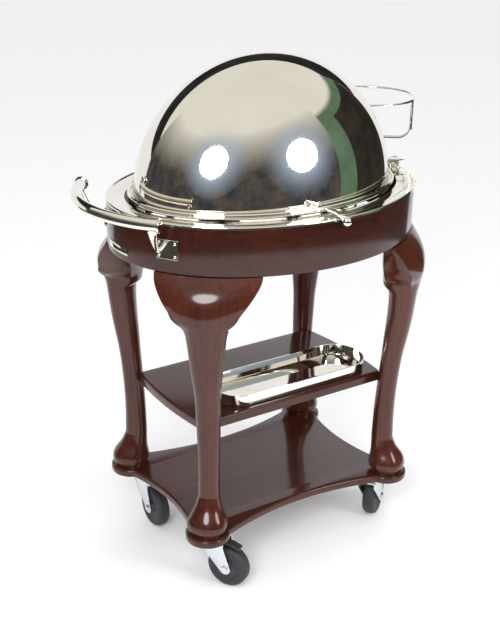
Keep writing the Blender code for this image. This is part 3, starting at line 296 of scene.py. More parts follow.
def rod(name, points, radius, radii=None, closed=False, sides=5):
    """A round bar along a line of points."""
    piece = from_curve(name, [points], closed, radii, dimensions="3D", bevel_depth=radius,
                       bevel_resolution=sides, use_fill_caps=not closed)
    edit_all()
    faces_outward()
    return smooth(piece, 50)


def trimmed(piece, place, normal):
    """Cut off what lies beyond a plane, on the side that its normal points to."""
    take(piece)
    edit_all()
    bpy.ops.mesh.bisect(plane_co=place, plane_no=normal, use_fill=True, clear_outer=True)
    faces_outward()
    smooth(piece)


def merged_copy(node, name):
    """A copy of a frame node with its loose triangles joined."""
    start_fresh()
    mesh = frame["nodes"][node].data.copy()
    mesh.name = name
    piece = new_object(name, mesh)
    take(piece)
    if mesh.has_custom_normals:
        bpy.ops.mesh.customdata_custom_splitnormals_clear()
    edit_all()
    bpy.ops.mesh.remove_doubles(threshold=0.00001)
    return piece


def refined_copy(node, name, look, edge, segments=2):
    """Settle a frame node with its flat faces joined and its edges rounded."""
    piece = merged_copy(node, name)
    bpy.ops.mesh.dissolve_limited(angle_limit=math.radians(0.6))
    bpy.ops.object.mode_set(mode="OBJECT")
    modify(piece, "BEVEL", width=edge, segments=segments, limit_method="ANGLE",
           angle_limit=math.radians(38), harden_normals=False)
    settle(smooth(piece, 40), look, node)


def rounded_copy(node, name, look, levels=2, sharp=34):
    """Settle a frame node smoothed between its corners, which stay where they are."""
    piece = merged_copy(node, name)
    bpy.ops.mesh.tris_convert_to_quads(face_threshold=math.radians(70),
                                       shape_threshold=math.radians(80))
    select_mesh("DESELECT")
    bpy.ops.mesh.select_mode(type="EDGE")
    bpy.ops.mesh.edges_select_sharp(sharpness=math.radians(sharp))
    bpy.ops.transform.edge_crease(value=1)
    bpy.ops.object.mode_set(mode="OBJECT")
    wanted = [vertex.co.copy() for vertex in piece.data.vertices]
    step = piece.modifiers.new("subsurf", "SUBSURF")
    step.levels = levels
    step.render_levels = levels
    for _ in range(3):
        graph = bpy.context.evaluated_depsgraph_get()
        shown = piece.evaluated_get(graph).data
        found = [shown.vertices[index].co.copy() for index in range(len(wanted))]
        for vertex, goal, now in zip(piece.data.vertices, wanted, found):
            vertex.co += goal - now
        piece.data.update()
    take(piece)
    bpy.ops.object.modifier_apply(modifier=step.name)
    settle(smooth(piece, sharp), look, node)


def settle(piece, look, node):
    """Give a piece its finish, ride it on its body and let it stand for its frame node."""
    piece.data.materials.clear()
    piece.data.materials.append(look)
    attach(piece, body_of[node])
    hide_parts(node)


def seat(piece, look, node):
    """Settle a piece that was built round the oval body's middle."""
    settle(moved(piece, Matrix.Translation(body_middle)), look, node)


def arc(centre, radius, start, end, steps):
    turns = [start + (end - start) * index / steps for index in range(steps + 1)]
    return [(centre[0] + radius * math.cos(t), centre[1] + radius * math.sin(t)) for t in turns]


def quarter_turn(steps):
    """Sines and cosines at even steps from 0 to 90 degrees."""
    return [(y, x) for x, y in arc((0, 0), 1, 0, math.pi / 2, steps)]


def levels(node, groups, unit=mm):
    """Points of (outward, height) from groups of pairs that start at the node's foot or top.

    The heights are in millimetres, and the outward lengths in a unit.
    """
    low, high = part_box(node)
    ends = {"foot": low.z, "top": high.z}
    return [(out * unit, ends[end] + rise * mm) for end, rows in groups for out, rise in rows]


def oval_rows(half_x, half_y, section):
    """Rows for a moulding round an oval, from points of (outward, height)."""
    return [(half_x + out, half_y + out, height) for out, height in section]


def moulded(node, name, look, section, facets, ends="bridge"):
    """Settle a moulding round the oval of a frame node."""
    rows = oval_rows(*half_sizes(*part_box(node)), section)
    seat(ring_walls(name, rows, facets, ends=ends), look, node)


def toward(direction):
    """Turn a shape so that its Z points this way."""
    return Vector(direction).to_track_quat("Z", "Y").to_matrix().to_4x4()


def wall_spot(y, z, side):
    """A place a hairline off the oval body's wall, on one side of X, and the way out of it."""
    x = side * body_half_x * math.sqrt(1 - (y / body_half_y) ** 2)
    outward = Vector((x / body_half_x**2, y / body_half_y**2, 0)).normalized()
    return Vector((x, y, z)) + outward * hairline, outward


def upright_turn(outward):
    """Turn a shape so that its Z points outward and its Y points up."""
    return Matrix((upward.cross(outward), upward, outward)).transposed().to_4x4()


# Finishes


def feed(tree, value, socket):
    """Link a socket to another, or set it to a plain value."""
    if isinstance(value, bpy.types.NodeSocket):
        tree.links.new(value, socket)
    else:
        socket.default_value = value


def add_node(tree, kind, **values):
    made = tree.nodes.new("ShaderNode" + kind)
    for key, value in values.items():
        feed(tree, value, made.inputs[key.replace("_", " ")])
    return made


def between(tree, factor, first, second):
    """Mix two colours and give back the mixed colour's socket."""
    made = add_node(tree, "Mix")
    made.data_type = "RGBA"
    for index, value in ((0, factor), (6, first), (7, second)):
        feed(tree, value, made.inputs[index])
    return made.outputs[2]


def spread(tree, value, low, high, to_low=0.0, to_high=1.0):
    made = add_node(tree, "MapRange", Value=value, From_Min=low, From_Max=high, To_Min=to_low,
                    To_Max=to_high)
    return made.outputs[0]


def noise(tree, vector, scale, detail=4.0, rough=0.5, distortion=0.0):
    made = add_node(tree, "TexNoise", Vector=vector, Scale=scale, Detail=detail, Roughness=rough,
                    Distortion=distortion)
    return made.outputs["Fac"]


def maths(tree, operation, first, second=0.0):
    made = add_node(tree, "Math")
    made.operation = operation
    feed(tree, first, made.inputs[0])
    feed(tree, second, made.inputs[1])
    return made.outputs[0]


def mapped(tree, vector, **values):
    return add_node(tree, "Mapping", Vector=vector, **values).outputs[0]


def new_group(name, colours, values):
    """A group that makes colour, roughness and height from a vector, colours and values."""
    group = bpy.data.node_groups.new(name, "ShaderNodeTree")
    inputs = [("Vector", "Vector")] + [(label, "Color") for label in colours]
    inputs += [(label, "Float") for label in values]
    outputs = [("Color", "Color"), ("Roughness", "Float"), ("Height", "Float")]
    for side, sockets in (("INPUT", inputs), ("OUTPUT", outputs)):
        for label, kind in sockets:
            group.interface.new_socket(label, in_out=side, socket_type="NodeSocket" + kind)
    return group, group.nodes.new("NodeGroupInput").outputs


def put_out(group, colour, roughness, height):
    result = group.nodes.new("NodeGroupOutput").inputs
    for label, value in (("Color", colour), ("Roughness", roughness), ("Height", height)):
        group.links.new(value, result[label])
    return group


def wood_grain_group():
    """Streaks, broad figure and pores along the vector's X."""
    group, source = new_group("wood_grain", ("Light", "Dark"), ("Fineness",))
    vector = mapped(group, source["Vector"], Scale=(0.055, 1.0, 1.0))
    wide = noise(group, vector, 7.0, 2.0, 0.5, 0.5)
    streaks = noise(group, vector, 120.0, 5.0, 0.6, 0.3)
    fine = noise(group, vector, source["Fineness"], 3.0, 0.6)
    tone = maths(group, "ADD", maths(group, "MULTIPLY", wide, 0.5),
                 maths(group, "MULTIPLY", streaks, 0.5))
    colour = between(group, spread(group, tone, 0.30, 0.70), source["Dark"], source["Light"])
    pores = maths(group, "MULTIPLY", spread(group, fine, 0.60, 0.72), 0.45)
    return put_out(
        group,
        between(group, pores, colour, source["Dark"]),
        spread(group, streaks, 0.3, 0.7, 0.30, 0.44),
        maths(group, "SUBTRACT", maths(group, "MULTIPLY", streaks, 0.3), pores),
    )


def handled_metal_group():
    """Tone, roughness and a slight waviness for plate that is polished by hand."""
    group, source = new_group("handled_metal", ("Clean", "Worn"), ("Low", "High"))
    vector = source["Vector"]
    worn = spread(group, noise(group, vector, 7.0, 5.0, 0.6), 0.40, 0.72)
    smears = noise(group, vector, 38.0, 4.0, 0.65, 0.6)
    scratches = noise(group, mapped(group, vector, Scale=(1.0, 1.0, 0.08)), 420.0, 2.0, 0.7)
    marks = maths(group, "MULTIPLY", spread(group, smears, 0.45, 0.75),
                  spread(group, scratches, 0.3, 0.7, 0.5, 1.0))
    span = maths(group, "SUBTRACT", source["High"], source["Low"])
    return put_out(
        group,
        between(group, worn, source["Clean"], source["Worn"]),
        maths(group, "ADD", source["Low"], maths(group, "MULTIPLY", marks, span)),
        noise(group, vector, 16.0, 1.0, 0.4),
    )


def mottled_group():
    """Colour, roughness and grain for rubber, plastic and plain painted faces."""
    group, source = new_group("mottled", ("Base", "Shade"), ("Grain",))
    cloud = noise(group, source["Vector"], 24.0, 5.0, 0.6)
    return put_out(
        group,
        between(group, spread(group, cloud, 0.35, 0.70), source["Base"], source["Shade"]),
        spread(group, cloud, 0.3, 0.7, 0.42, 0.62),
        noise(group, source["Vector"], source["Grain"], 3.0, 0.6),
    )


groups = {}
looks = {}


def shared(build):
    """Each node group is built once."""
    if build.__name__ not in groups:
        groups[build.__name__] = build()
    return groups[build.__name__]


def rgba(colour, factor=1.0):
    return (colour[0] * factor, colour[1] * factor, colour[2] * factor, 1.0)


def finish_of(name, group, bump, shader, turn=(0, 0, 0), **values):
    """A material on the object's own coordinates, with its pattern from one of the groups."""
    if name in looks:
        return looks[name]
    material = bpy.data.materials.new(name)
    material.use_nodes = True
    tree = material.node_tree
    principled = tree.nodes["Principled BSDF"]
    place = add_node(tree, "TexCoord").outputs["Object"]
    pattern = add_node(tree, "Group")
    pattern.node_tree = shared(group)
    values["Vector"] = mapped(tree, place, Rotation=turn)
    for key, value in values.items():
        feed(tree, value, pattern.inputs[key])
    made = pattern.outputs
    raised = add_node(tree, "Bump", Height=made["Height"], Strength=bump[0],
                      Distance=bump[1])
    for key, value in (("Base Color", made["Color"]), ("Roughness", made["Roughness"]),
                       ("Normal", raised.outputs[0]), *shader.items()):
        feed(tree, value, principled.inputs[key])
    looks[name] = material
    return material


# Brightness of the one mahogany on each part of the stand, as painted light and shade: the legs lighter and the
# body darker as the light falls on them
painted_light_by_part = {"legs": 1.2, "shelves": 0.95, "body": 0.68}


def mahogany(colours, where, along):
    """French-polished mahogany with its grain along X or Z."""
    # tone is a painted light and shade factor that makes this part's copy of the wood lighter or darker
    tone = painted_light_by_part[where]
    turn = {"X": (0, 0, 0), "Z": (0, math.pi / 2, 0)}[along]
    polish = {"Coat Weight": 1.0, "Coat Roughness": 0.12, "Coat IOR": 1.45,
              "Specular IOR Level": 0.05}
    return finish_of("mahogany_" + where, wood_grain_group, (0.02, 0.0002), polish, turn,
                     Light=rgba(colours.wood_light, tone), Dark=rgba(colours.wood_dark, tone),
                     Fineness=420.0)


def board_wood(colours):
    return finish_of("board_wood", wood_grain_group, (0.25, 0.0004),
                     {"Specular IOR Level": 0.4}, Light=rgba(colours.board_wood),
                     Dark=rgba(colours.board_wood, 0.6), Fineness=380.0)


# Lowest and highest roughness, and the bump's strength and distance
metal_looks = {
    "silver_plate": (0.035, 0.10, 0.02, 0.002),
    "zinc_plate": (0.20, 0.36, 0.05, 0.001),
    "polished_brass": (0.14, 0.30, 0.04, 0.001),
}

# The second tone's factor, the grain, the specular level, and the bump's strength and distance
mottled_looks = {
    "tyre_rubber": (1.5, 900.0, 0.35, 0.25, 0.0003),
    "hub_plastic": (0.8, 1100.0, 0.45, 0.12, 0.0002),
    "pedal_plastic": (1.6, 1000.0, 0.5, 0.15, 0.0002),
    "studio_floor": (0.985, 30.0, 0.1, 0.02, 0.0002),
}


def metal(name, clean, worn):
    low, high, *bump = metal_looks[name]
    return finish_of(name, handled_metal_group, bump, {"Metallic": 1.0}, Clean=clean, Worn=worn,
                     Low=low, High=high)


def mottled(name, base):
    shade, grain, specular, *bump = mottled_looks[name]
    return finish_of(name, mottled_group, bump, {"Specular IOR Level": specular},
                     Base=rgba(base), Shade=rgba(base, shade), Grain=grain)


def silver_plate(colours):
    return metal("silver_plate", rgba(colours.silver), rgba(colours.tarnish))


# Wooden stand

foot_x = 0.2580
foot_y = 0.1805
lobe_radius = 0.0503
shelf_middle_x = 0.258
shelf_middle_y = 0.169
lobe_front = math.radians(153)
lobe_end = math.radians(-68)
mid_half_x = 0.262
mid_half_y = 0.150
mid_end_bow = 0.013
shelf_steps = 16
apron_facets = 160


def mirrored(quarter):
    """Four quarters of an outline that starts on the Y axis and ends on the X axis."""
    second = [(x, -y) for x, y in reversed(quarter[:-1])]
    third = [(-x, -y) for x, y in quarter[1:]]
    fourth = [(-x, y) for x, y in reversed(quarter[1:-1])]
    return quarter + second + third + fourth


def lower_shelf_outline():
    """Round lobes under the feet, and sides that are hollowed between them."""
    lobe = arc((foot_x, foot_y), lobe_radius, lobe_front, lobe_end, 40)
    join_x, join_y = lobe[0]
    turn_x, turn_y = lobe[-1]
    side = []
    end = []
    for index in range(shelf_steps):
        along = index / shelf_steps
        side.append((join_x * along, shelf_middle_y + (join_y - shelf_middle_y) * along**2))
        back = 1 - (index + 1) / shelf_steps
        end.append((shelf_middle_x + (turn_x - shelf_middle_x) * back**2, turn_y * back))
    return mirrored(side + lobe + end)


def middle_shelf_outline():
    """Straight long sides, corners cut for the legs, and slightly bowed ends."""
    _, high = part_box("mid_shelf")
    places = [vertex.co for vertex in frame["nodes"]["mid_shelf"].data.vertices]
    margin = 0.0001
    seat_x = max(co.x for co in places if co.y > high.y - margin) - body_middle.x
    end = []
    for index in range(1, shelf_steps + 1):
        y = mid_half_y * (1 - index / shelf_steps)
        x = mid_half_x - mid_end_bow * (y / mid_half_y) ** 2
        end.append((min(x, seat_x + mid_half_y - y), y))
    return mirrored([(0, mid_half_y), (seat_x, mid_half_y)] + end)


class TROLLEY_OT_legs(bpy.types.Operator):
    """Four cabriole legs with their feet and shoulders"""

    bl_idname = "trolley.legs"
    bl_label = "Legs"

    def execute(self, context):
        look = mahogany(context.scene.trolley_colours, "legs", "Z")
        for corner in corners:
            rounded_copy("leg_" + corner, "cabriole_leg_" + corner, look)
        return {"FINISHED"}


class TROLLEY_OT_shelves(bpy.types.Operator):
    """The lobed lower shelf and the smaller middle shelf"""

    bl_idname = "trolley.shelves"
    bl_label = "Shelves"

    def execute(self, context):
        sizes, colours = given(context)
        look = mahogany(colours, "shelves", "X")
        for node, name, outline in (
            ("bottom_shelf", "lower_shelf", lower_shelf_outline()),
            ("mid_shelf", "middle_shelf", middle_shelf_outline()),
        ):
            low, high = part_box(node)
            shelf = flat_shape(name, outline, low.z, high.z, sizes.shelf_round)
            seat(shelf, look, node)
        return {"FINISHED"}


class TROLLEY_OT_apron(bpy.types.Operator):
    """The oval wooden wall that carries the top"""

    bl_idname = "trolley.apron"
    bl_label = "Apron"

    def execute(self, context):
        sizes, colours = given(context)
        low, high = apron_low.z, apron_high.z
        edge = sizes.apron_round
        round_in = edge * (1 - diagonal_share)
        section = (
            (-sizes.apron_wall, low),
            (-edge, low),
            (-edge / 2, low + round_in / 2),
            (-round_in, low + round_in),
            (-round_in / 2, low + edge / 2),
            (0, low + edge),
            (0, high - edge / 2),
            (-edge / 2, high),
            (-sizes.apron_wall, high),
        )
        look = mahogany(colours, "body", "X")
        moulded("apron", "apron_wall", look, section, apron_facets)
        return {"FINISHED"}


# Silver top

bead_rise = 0.0022
silver_facets = 480


def half_round(centre, height, radius, rise, steps=8):
    """Section points over a bead, from its inner side to its outer side."""
    points = []
    for index in range(steps + 1):
        turn = math.pi * (1 - index / steps)
        points.append((centre + radius * math.cos(turn), height + rise * math.sin(turn)))
    return points


class TROLLEY_OT_top_ring(bpy.types.Operator):
    """The flat silver ring round the opening, with its raised bead"""

    bl_idname = "trolley.top_ring"
    bl_label = "Top ring"

    def execute(self, context):
        sizes, colours = given(context)
        low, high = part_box("top_ring")
        flat = high.z - bead_rise
        edge = sizes.sheet_edge
        radius = sizes.bead_width / 2
        opening = ((0, low.z), (0, flat - edge), (edge / 2, flat - edge / 4), (edge, flat))
        bead = half_round(-radius, flat, radius, bead_rise)
        rows = oval_rows(sizes.ring_inner_x, sizes.ring_inner_y, opening)
        rows += oval_rows(*half_sizes(low, high), bead + [(0, low.z)])
        ring = ring_walls("top_ring_sheet", rows, silver_facets)
        seat(ring, silver_plate(colours), "top_ring")
        return {"FINISHED"}


# Lid

# The rolled rim's section in millimetres, outward from the dome's foot
rim_section = (
    ("foot", ((-4, 0), (10.8, 0), (12.4, 0.8), (13, 3), (13, 8.2), (12.5, 10.2), (11.2, 11.5),
              (9.5, 12), (7.8, 11.5), (6.6, 10.2), (6, 8.2), (6, 4.2), (5.6, 2.8), (4.6, 2.2),
              (3.6, 2.6), (3.3, 4), (2.7, 5.1), (1.8, 5.5), (0.9, 5.1), (0.4, 4), (0.3, 2.1),
              (0.1, 2), (-4, 2))),
)


# Rounds on the edges of the lid's fittings
lever_round = 0.0016
bushing_round = 0.0006
arm_round = 0.0008
pin_round = 0.0003


class TROLLEY_OT_lid(bpy.types.Operator):
    """The roll-over dome with its rolled rim"""

    bl_idname = "trolley.lid"
    bl_label = "Lid"

    def execute(self, context):
        sizes, colours = given(context)
        look = silver_plate(colours)
        low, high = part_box("lid_dome")
        start_fresh()
        bpy.ops.mesh.primitive_uv_sphere_add(segments=144, ring_count=96, radius=1)
        dome = named("lid_shell")
        edit_all()
        bpy.ops.mesh.bisect(plane_co=(0, 0, 0), plane_no=(0, 0, -1), clear_outer=True)
        select_mesh()
        bpy.ops.transform.resize(value=(sizes.lid_half_x, sizes.lid_half_y, high.z - low.z),
                                 center_override=(0, 0, 0))
        bpy.ops.transform.translate(value=(0, 0, low.z))
        faces_outward()
        modify(dome, "SOLIDIFY", thickness=sizes.lid_sheet, offset=-1, use_even_offset=True)
        smooth(dome)
        seat(dome, look, "lid_dome")
        rows = oval_rows(sizes.lid_half_x, sizes.lid_half_y, levels("lid_rim", rim_section))
        seat(ring_walls("lid_rolled_rim", rows, silver_facets), look, "lid_rim")
        return {"FINISHED"}


class TROLLEY_OT_lid_fittings(bpy.types.Operator):
    """Lever and knob, pivot pins, bushings, and the pan's arms and hangers"""

    bl_idname = "trolley.lid_fittings"
    bl_label = "Lid fittings"

    def execute(self, context):
        sizes, colours = given(context)
        look = silver_plate(colours)
        refined_copy("lid_lever", "lid_lever_bar", look, lever_round, 4)
        low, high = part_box("lid_knob")
        radius = (high.x - low.x) / 2
        centre = Vector(((low.x + high.x) / 2, low.y + radius, (low.z + high.z) / 2))
        start_fresh()
        bpy.ops.mesh.primitive_uv_sphere_add(segments=48, ring_count=32, radius=radius)
        knob = moved(named("lid_lever_knob"), Matrix.Translation(centre))
        trimmed(knob, (0, high.y, 0), (0, 1, 0))
        settle(knob, look, "lid_knob")
        for side in ("left", "right"):
            for part, edge in (("lid_bushing_", bushing_round), ("pan_arm_", arm_round),
                               ("pan_hanger_", sizes.sheet_edge), ("pivot_pin_", pin_round)):
                node = part + side
                refined_copy(node, node + "_piece", look, edge)
        return {"FINISHED"}


# Sections in millimetres, outward from a node's edge and up from its foot or down from its top
pan_section = (
    ("foot", ((-36, 0), (-38.5, 2))),
    ("top", ((-22.5, -3.5), (-20, -1.5), (-1.5, -1.5), (0, -0.75), (-1.5, 0), (-20, 0),
             (-24, -2))),
    ("foot", ((-40, 3.5), (-44, 1.5))),
)
board_section = (
    ("foot", ((-3, 0), (-1, 1), (0, 3))),
    ("top", ((0, -3), (-1, -1), (-3, 0), (-15, 0), (-18, -1.5), (-21, -3), (-24, -3),
             (-27, -1.5), (-30, 0))),
)
oval_facets = 120

# The burner's outline, with its radii as shares of the widest one
burner_shares = (
    ("foot", ((0.94, 0), (1, 2))),
    ("top", ((1, -22), (0.97, -18), (0.86, -15), (0.6, -12), (0.42, -11), (0.39, -9),
             (0.39, -1), (0.37, 0), (0.3, 0), (0.28, -4))),
)


class TROLLEY_OT_pan(bpy.types.Operator):
    """The water pan, the carving board, the burner and its cradle"""

    bl_idname = "trolley.pan"
    bl_label = "Pan and board"

    def execute(self, context):
        sizes, colours = given(context)
        moulded("pan", "water_pan", silver_plate(colours), levels("pan", pan_section),
                oval_facets, "cap")
        moulded("carving_board", "board", board_wood(colours),
                levels("carving_board", board_section), oval_facets, "cap")
        brass = metal("polished_brass", rgba(colours.brass), rgba(colours.brass, 0.75))
        low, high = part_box("burner")
        profile = levels("burner", burner_shares, (high.x - low.x) / 2)
        seat(turned("spirit_burner", profile), brass, "burner")
        refined_copy("burner_cradle", "burner_strap", brass, sizes.sheet_edge)
        return {"FINISHED"}


# Push handle

handle_apex_x = 0.434
handle_bend = 0.252
handle_half_span = 0.172
handle_z = 0.886
handle_plate_y = 0.133
handle_plate_z = 0.818
handle_plate_width = 0.050
handle_plate_height = 0.042
plate_sheet = 0.003
plate_ease = 0.002
plate_edge = 0.0007
screw_inset = 0.007
screw_radius = 0.0036
screw_rise = 0.0021
arm_foot_radius = 0.0042
arm_top_radius = 0.0095

# The arm's foot from the middle of its plate's face, and how near the arm's middle keeps to it
arm_foot_out = 0.0025
arm_foot_aside = 0.018
arm_foot_drop = 0.004
arm_bend_share = 0.35

# Shares of the radius and rise of a domed screw head, and an end cap's profile in millimetres
screw_shares = ((1, -1), (1, 0.15), (0.93, 0.45), (0.75, 0.75), (0.45, 0.95), (0.12, 1))
cap_profile = ((14.8, 0), (15.5, 0.6), (15.5, 1.9), (15.1, 2.5), (13.8, 3.1), (11.2, 3.6),
               (7, 3.9), (1.5, 4))


def handle_point(y):
    x = handle_bend - handle_apex_x - math.sqrt(handle_bend**2 - y**2)
    return Vector((x, y, handle_z))


def screwed_plate(name, width, height, sheet, outward, place):
    """A plate with eased corners and four domed screws, turned to lie on the wall."""
    x, y = width / 2 - plate_ease, height / 2 - plate_ease
    outline = []
    for quarter, centre in enumerate(((x, y), (-x, y), (-x, -y), (x, -y))):
        start = quarter * math.pi / 2
        outline += arc(centre, plate_ease, start, start + math.pi / 2, 5)
    parts = [flat_shape(name, outline, 0, sheet, plate_edge)]
    dome = [(screw_radius * out, screw_rise * up) for out, up in screw_shares]
    x, y = width / 2 - screw_inset, height / 2 - screw_inset
    for spot in ((-x, -y, sheet), (-x, y, sheet), (x, -y, sheet), (x, y, sheet)):
        parts.append(moved(turned("screw", dome, 24), Matrix.Translation(spot)))
    return moved(join(parts, name), Matrix.Translation(place) @ upright_turn(outward))


class TROLLEY_OT_handle(bpy.types.Operator):
    """The bent push handle with its caps, arms and plates"""

    bl_idname = "trolley.handle"
    bl_label = "Push handle"

    def execute(self, context):
        sizes, colours = given(context)
        radius = sizes.handle_radius
        look = silver_plate(colours)
        lean = math.asin(handle_half_span / handle_bend)
        steps = 72
        points = []
        for index in range(steps + 1):
            turn = -lean + 2 * lean * index / steps
            points.append(handle_point(handle_bend * math.sin(turn)))
        seat(rod("push_bar", points, radius, sides=10), look, "handle_tube")
        for label, side in (("front", -1), ("back", 1)):
            self.add_cap(look, label, side, lean)
            self.add_arm(look, label, side, radius)
        return {"FINISHED"}

    def add_cap(self, look, label, side, lean):
        along = Vector((math.sin(lean), side * math.cos(lean), 0))
        place = handle_point(side * handle_half_span) + along * hairline
        cap = turned("handle_end_" + label, metres(cap_profile), 64)
        moved(cap, Matrix.Translation(place) @ toward(along))
        seat(cap, look, "handle_cap_" + label)

    def add_arm(self, look, label, side, tube_radius):
        place, outward = wall_spot(side * handle_plate_y, handle_plate_z, -1)
        plate = screwed_plate("handle_foot_" + label, handle_plate_width, handle_plate_height,
                              plate_sheet, outward, place)
        seat(plate, look, "handle_plate_" + label)
        face = place + outward * (plate_sheet + hairline)
        aside = Vector((-side * outward.y, side * outward.x, 0)) * arm_foot_aside
        foot = face + outward * arm_foot_out + aside - upward * arm_foot_drop
        top = handle_point(side * (handle_half_span - arm_top_radius))
        top -= upward * (tube_radius + hairline + arm_top_radius / 4)
        middle = Vector((top.x, top.y, (foot.z + top.z) / 2)).lerp(foot, arm_bend_share)
        points = []
        radii = []
        steps = 24
        for index in range(steps + 1):
            along = index / steps
            points.append(foot.lerp(middle, along).lerp(middle.lerp(top, along), along))
            radii.append(1 + (arm_top_radius / arm_foot_radius - 1) * along**2)
        arm = rod("handle_arm_piece_" + label, points, arm_foot_radius, radii, sides=8)
        trimmed(arm, (0, 0, handle_z - tube_radius - hairline), (0, 0, 1))
        trimmed(arm, face, -outward)
        seat(arm, look, "handle_arm_" + label)


# Fittings on the body

bench_round = 0.0007
end_knob_y = -0.086
end_knob_z = 0.842
knob_profile = ((3, 0), (3, 9.2), (3.8, 9.9), (6.2, 10.1), (7.8, 11.1), (8.5, 13), (8.5, 16),
                (7.8, 17.8), (6.2, 18.8), (3, 19))


class TROLLEY_OT_fittings(bpy.types.Operator):
    """The bare plaque, the small bench on the ring and the end knob"""

    bl_idname = "trolley.fittings"
    bl_label = "Fittings"

    def execute(self, context):
        sizes, colours = given(context)
        look = silver_plate(colours)
        refined_copy("plaque", "bare_plaque", look, sizes.sheet_edge)
        refined_copy("end_bracket", "ring_bench", look, bench_round, 3)
        place, outward = wall_spot(end_knob_y, end_knob_z, 1)
        knob = turned("end_knob_piece", metres(knob_profile), 40)
        moved(knob, Matrix.Translation(place) @ upright_turn(outward))
        seat(knob, look, "end_knob")
        return {"FINISHED"}


ring_centre = Vector((0.443, 0.189, 0.991))
ring_radius = 0.116
cradle_drop = 0.104
cradle_side_drop = 0.068
cradle_angle = math.radians(-57.5)
cradle_turn_share = 0.8
hub_height = 0.010
hub_radius = 0.012
hub_edge = 0.001
post_plate_y = 0.152
post_plate_z = 0.828
post_plate_side = 0.046
post_plate_sheet = 0.004
post_root = 0.004
post_elbow = 0.030
post_radius = 0.006


class TROLLEY_OT_plate_ring(bpy.types.Operator):
    """The wire ring for plates, its post and its back plate"""

    bl_idname = "trolley.plate_ring"
    bl_label = "Plate ring"

    def execute(self, context):
        sizes, colours = given(context)
        look = silver_plate(colours)
        loop = arc((0, 0), ring_radius, 0, math.tau, 120)[:-1]
        parts = [rod("wire", [ring_centre + Vector((x, y, 0)) for x, y in loop],
                     sizes.wire_radius, closed=True)]
        for turns in (0, 2, 3):
            parts.append(self.strand(cradle_angle + turns * math.pi / 2, sizes.strand_radius))
        half = hub_height / 2
        rows = ((hub_radius - hub_edge, -half), (hub_radius, hub_edge - half),
                (hub_radius, half - 2 * hub_edge), (hub_radius - 2 * hub_edge, half),
                (2 * hub_edge, half))
        hub = turned("hub", rows, 40)
        parts.append(moved(hub, Matrix.Translation(ring_centre - upward * cradle_drop)))
        seat(join(parts, "plate_ring_wires"), look, "plate_ring")
        self.add_post(look)
        return {"FINISHED"}

    def strand(self, angle, radius):
        out = Vector((math.cos(angle), math.sin(angle), 0))
        bend = cradle_drop - cradle_side_drop
        points = [ring_centre + out * ring_radius]
        for sine, cosine in quarter_turn(14):
            inward = ring_radius - bend * (1 - cosine)
            drop = cradle_side_drop + bend * sine * cradle_turn_share
            points.append(ring_centre + out * inward - upward * drop)
        points.append(ring_centre - upward * cradle_drop)
        return rod("strand", points, radius)

    def add_post(self, look):
        base, outward = wall_spot(post_plate_y, post_plate_z, 1)
        plate = screwed_plate("plate_ring_foot", post_plate_side, post_plate_side,
                              post_plate_sheet, outward, base)
        seat(plate, look, "plate_bracket")
        start = base + outward * (post_plate_sheet + hairline)
        top = ring_centre - upward * (cradle_drop + hub_height / 2 + hairline)
        corner = Vector((top.x, top.y, start.z))
        leave = (corner - start).normalized()
        points = [start - leave * post_root]
        for sine, cosine in quarter_turn(16):
            back = leave * post_elbow * (1 - sine)
            points.append(corner - back + upward * post_elbow * (1 - cosine))
        points.append(top)
        bar = rod("plate_ring_post", points, post_radius, sides=8)
        trimmed(bar, start, -outward)
        seat(bar, look, "plate_post")


tray_rim = 0.0016
tray_corner = 0.056
tray_section = (
    ("foot", ((-6, 0), (-2.2, 0), (-0.66, 0.66), (0, 2.2))),
    ("top", ((0, -1.9), (1.2, -1.4), (1.6, -0.7), (1.2, 0), (-1.4, 0))),
    ("foot", ((-1.4, 3.6), (-2.06, 2.06), (-3.6, 1.4), (-6, 1.4))),
)


class TROLLEY_OT_tray(bpy.types.Operator):
    """The long silver tray on the middle shelf"""

    bl_idname = "trolley.tray"
    bl_label = "Tray"

    def execute(self, context):
        low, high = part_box("tray")
        half_x, half_y = half_sizes(low, high)
        section = levels("tray", tray_section)
        rows = oval_rows(half_x - tray_rim, half_y - tray_rim, section)
        tray = ring_walls("serving_tray", rows, 64, corner=tray_corner, ends="cap")
        moved(tray, Matrix.Translation(floor_middle(low, high)))
        settle(tray, silver_plate(context.scene.trolley_colours), "tray")
        return {"FINISHED"}


# Castors

castor_round = 0.0006
pedal_round = 0.0008

# Radii and half widths in millimetres, from the tyre's seat to its tread and from the hub's bore
tyre_rows = ((29.2, 13.5), (31.5, 14.2), (33, 13.8), (34.5, 13.6), (36.5, 14.6), (38, 15.2),
             (41, 15.6), (44, 15), (46.5, 13.5), (48.5, 11), (49.6, 8), (50, 4.5), (50, 2),
             (49.7, 1.2), (49.7, 0))
hub_rows = ((5.3, 16.8), (9.5, 17), (10.8, 16.6), (11.8, 15), (13.5, 11.8), (16, 10.8),
            (20.5, 10.6), (23.5, 11.2), (25, 12.8), (26.8, 13.8), (28.2, 13.6), (28.9, 12.5))


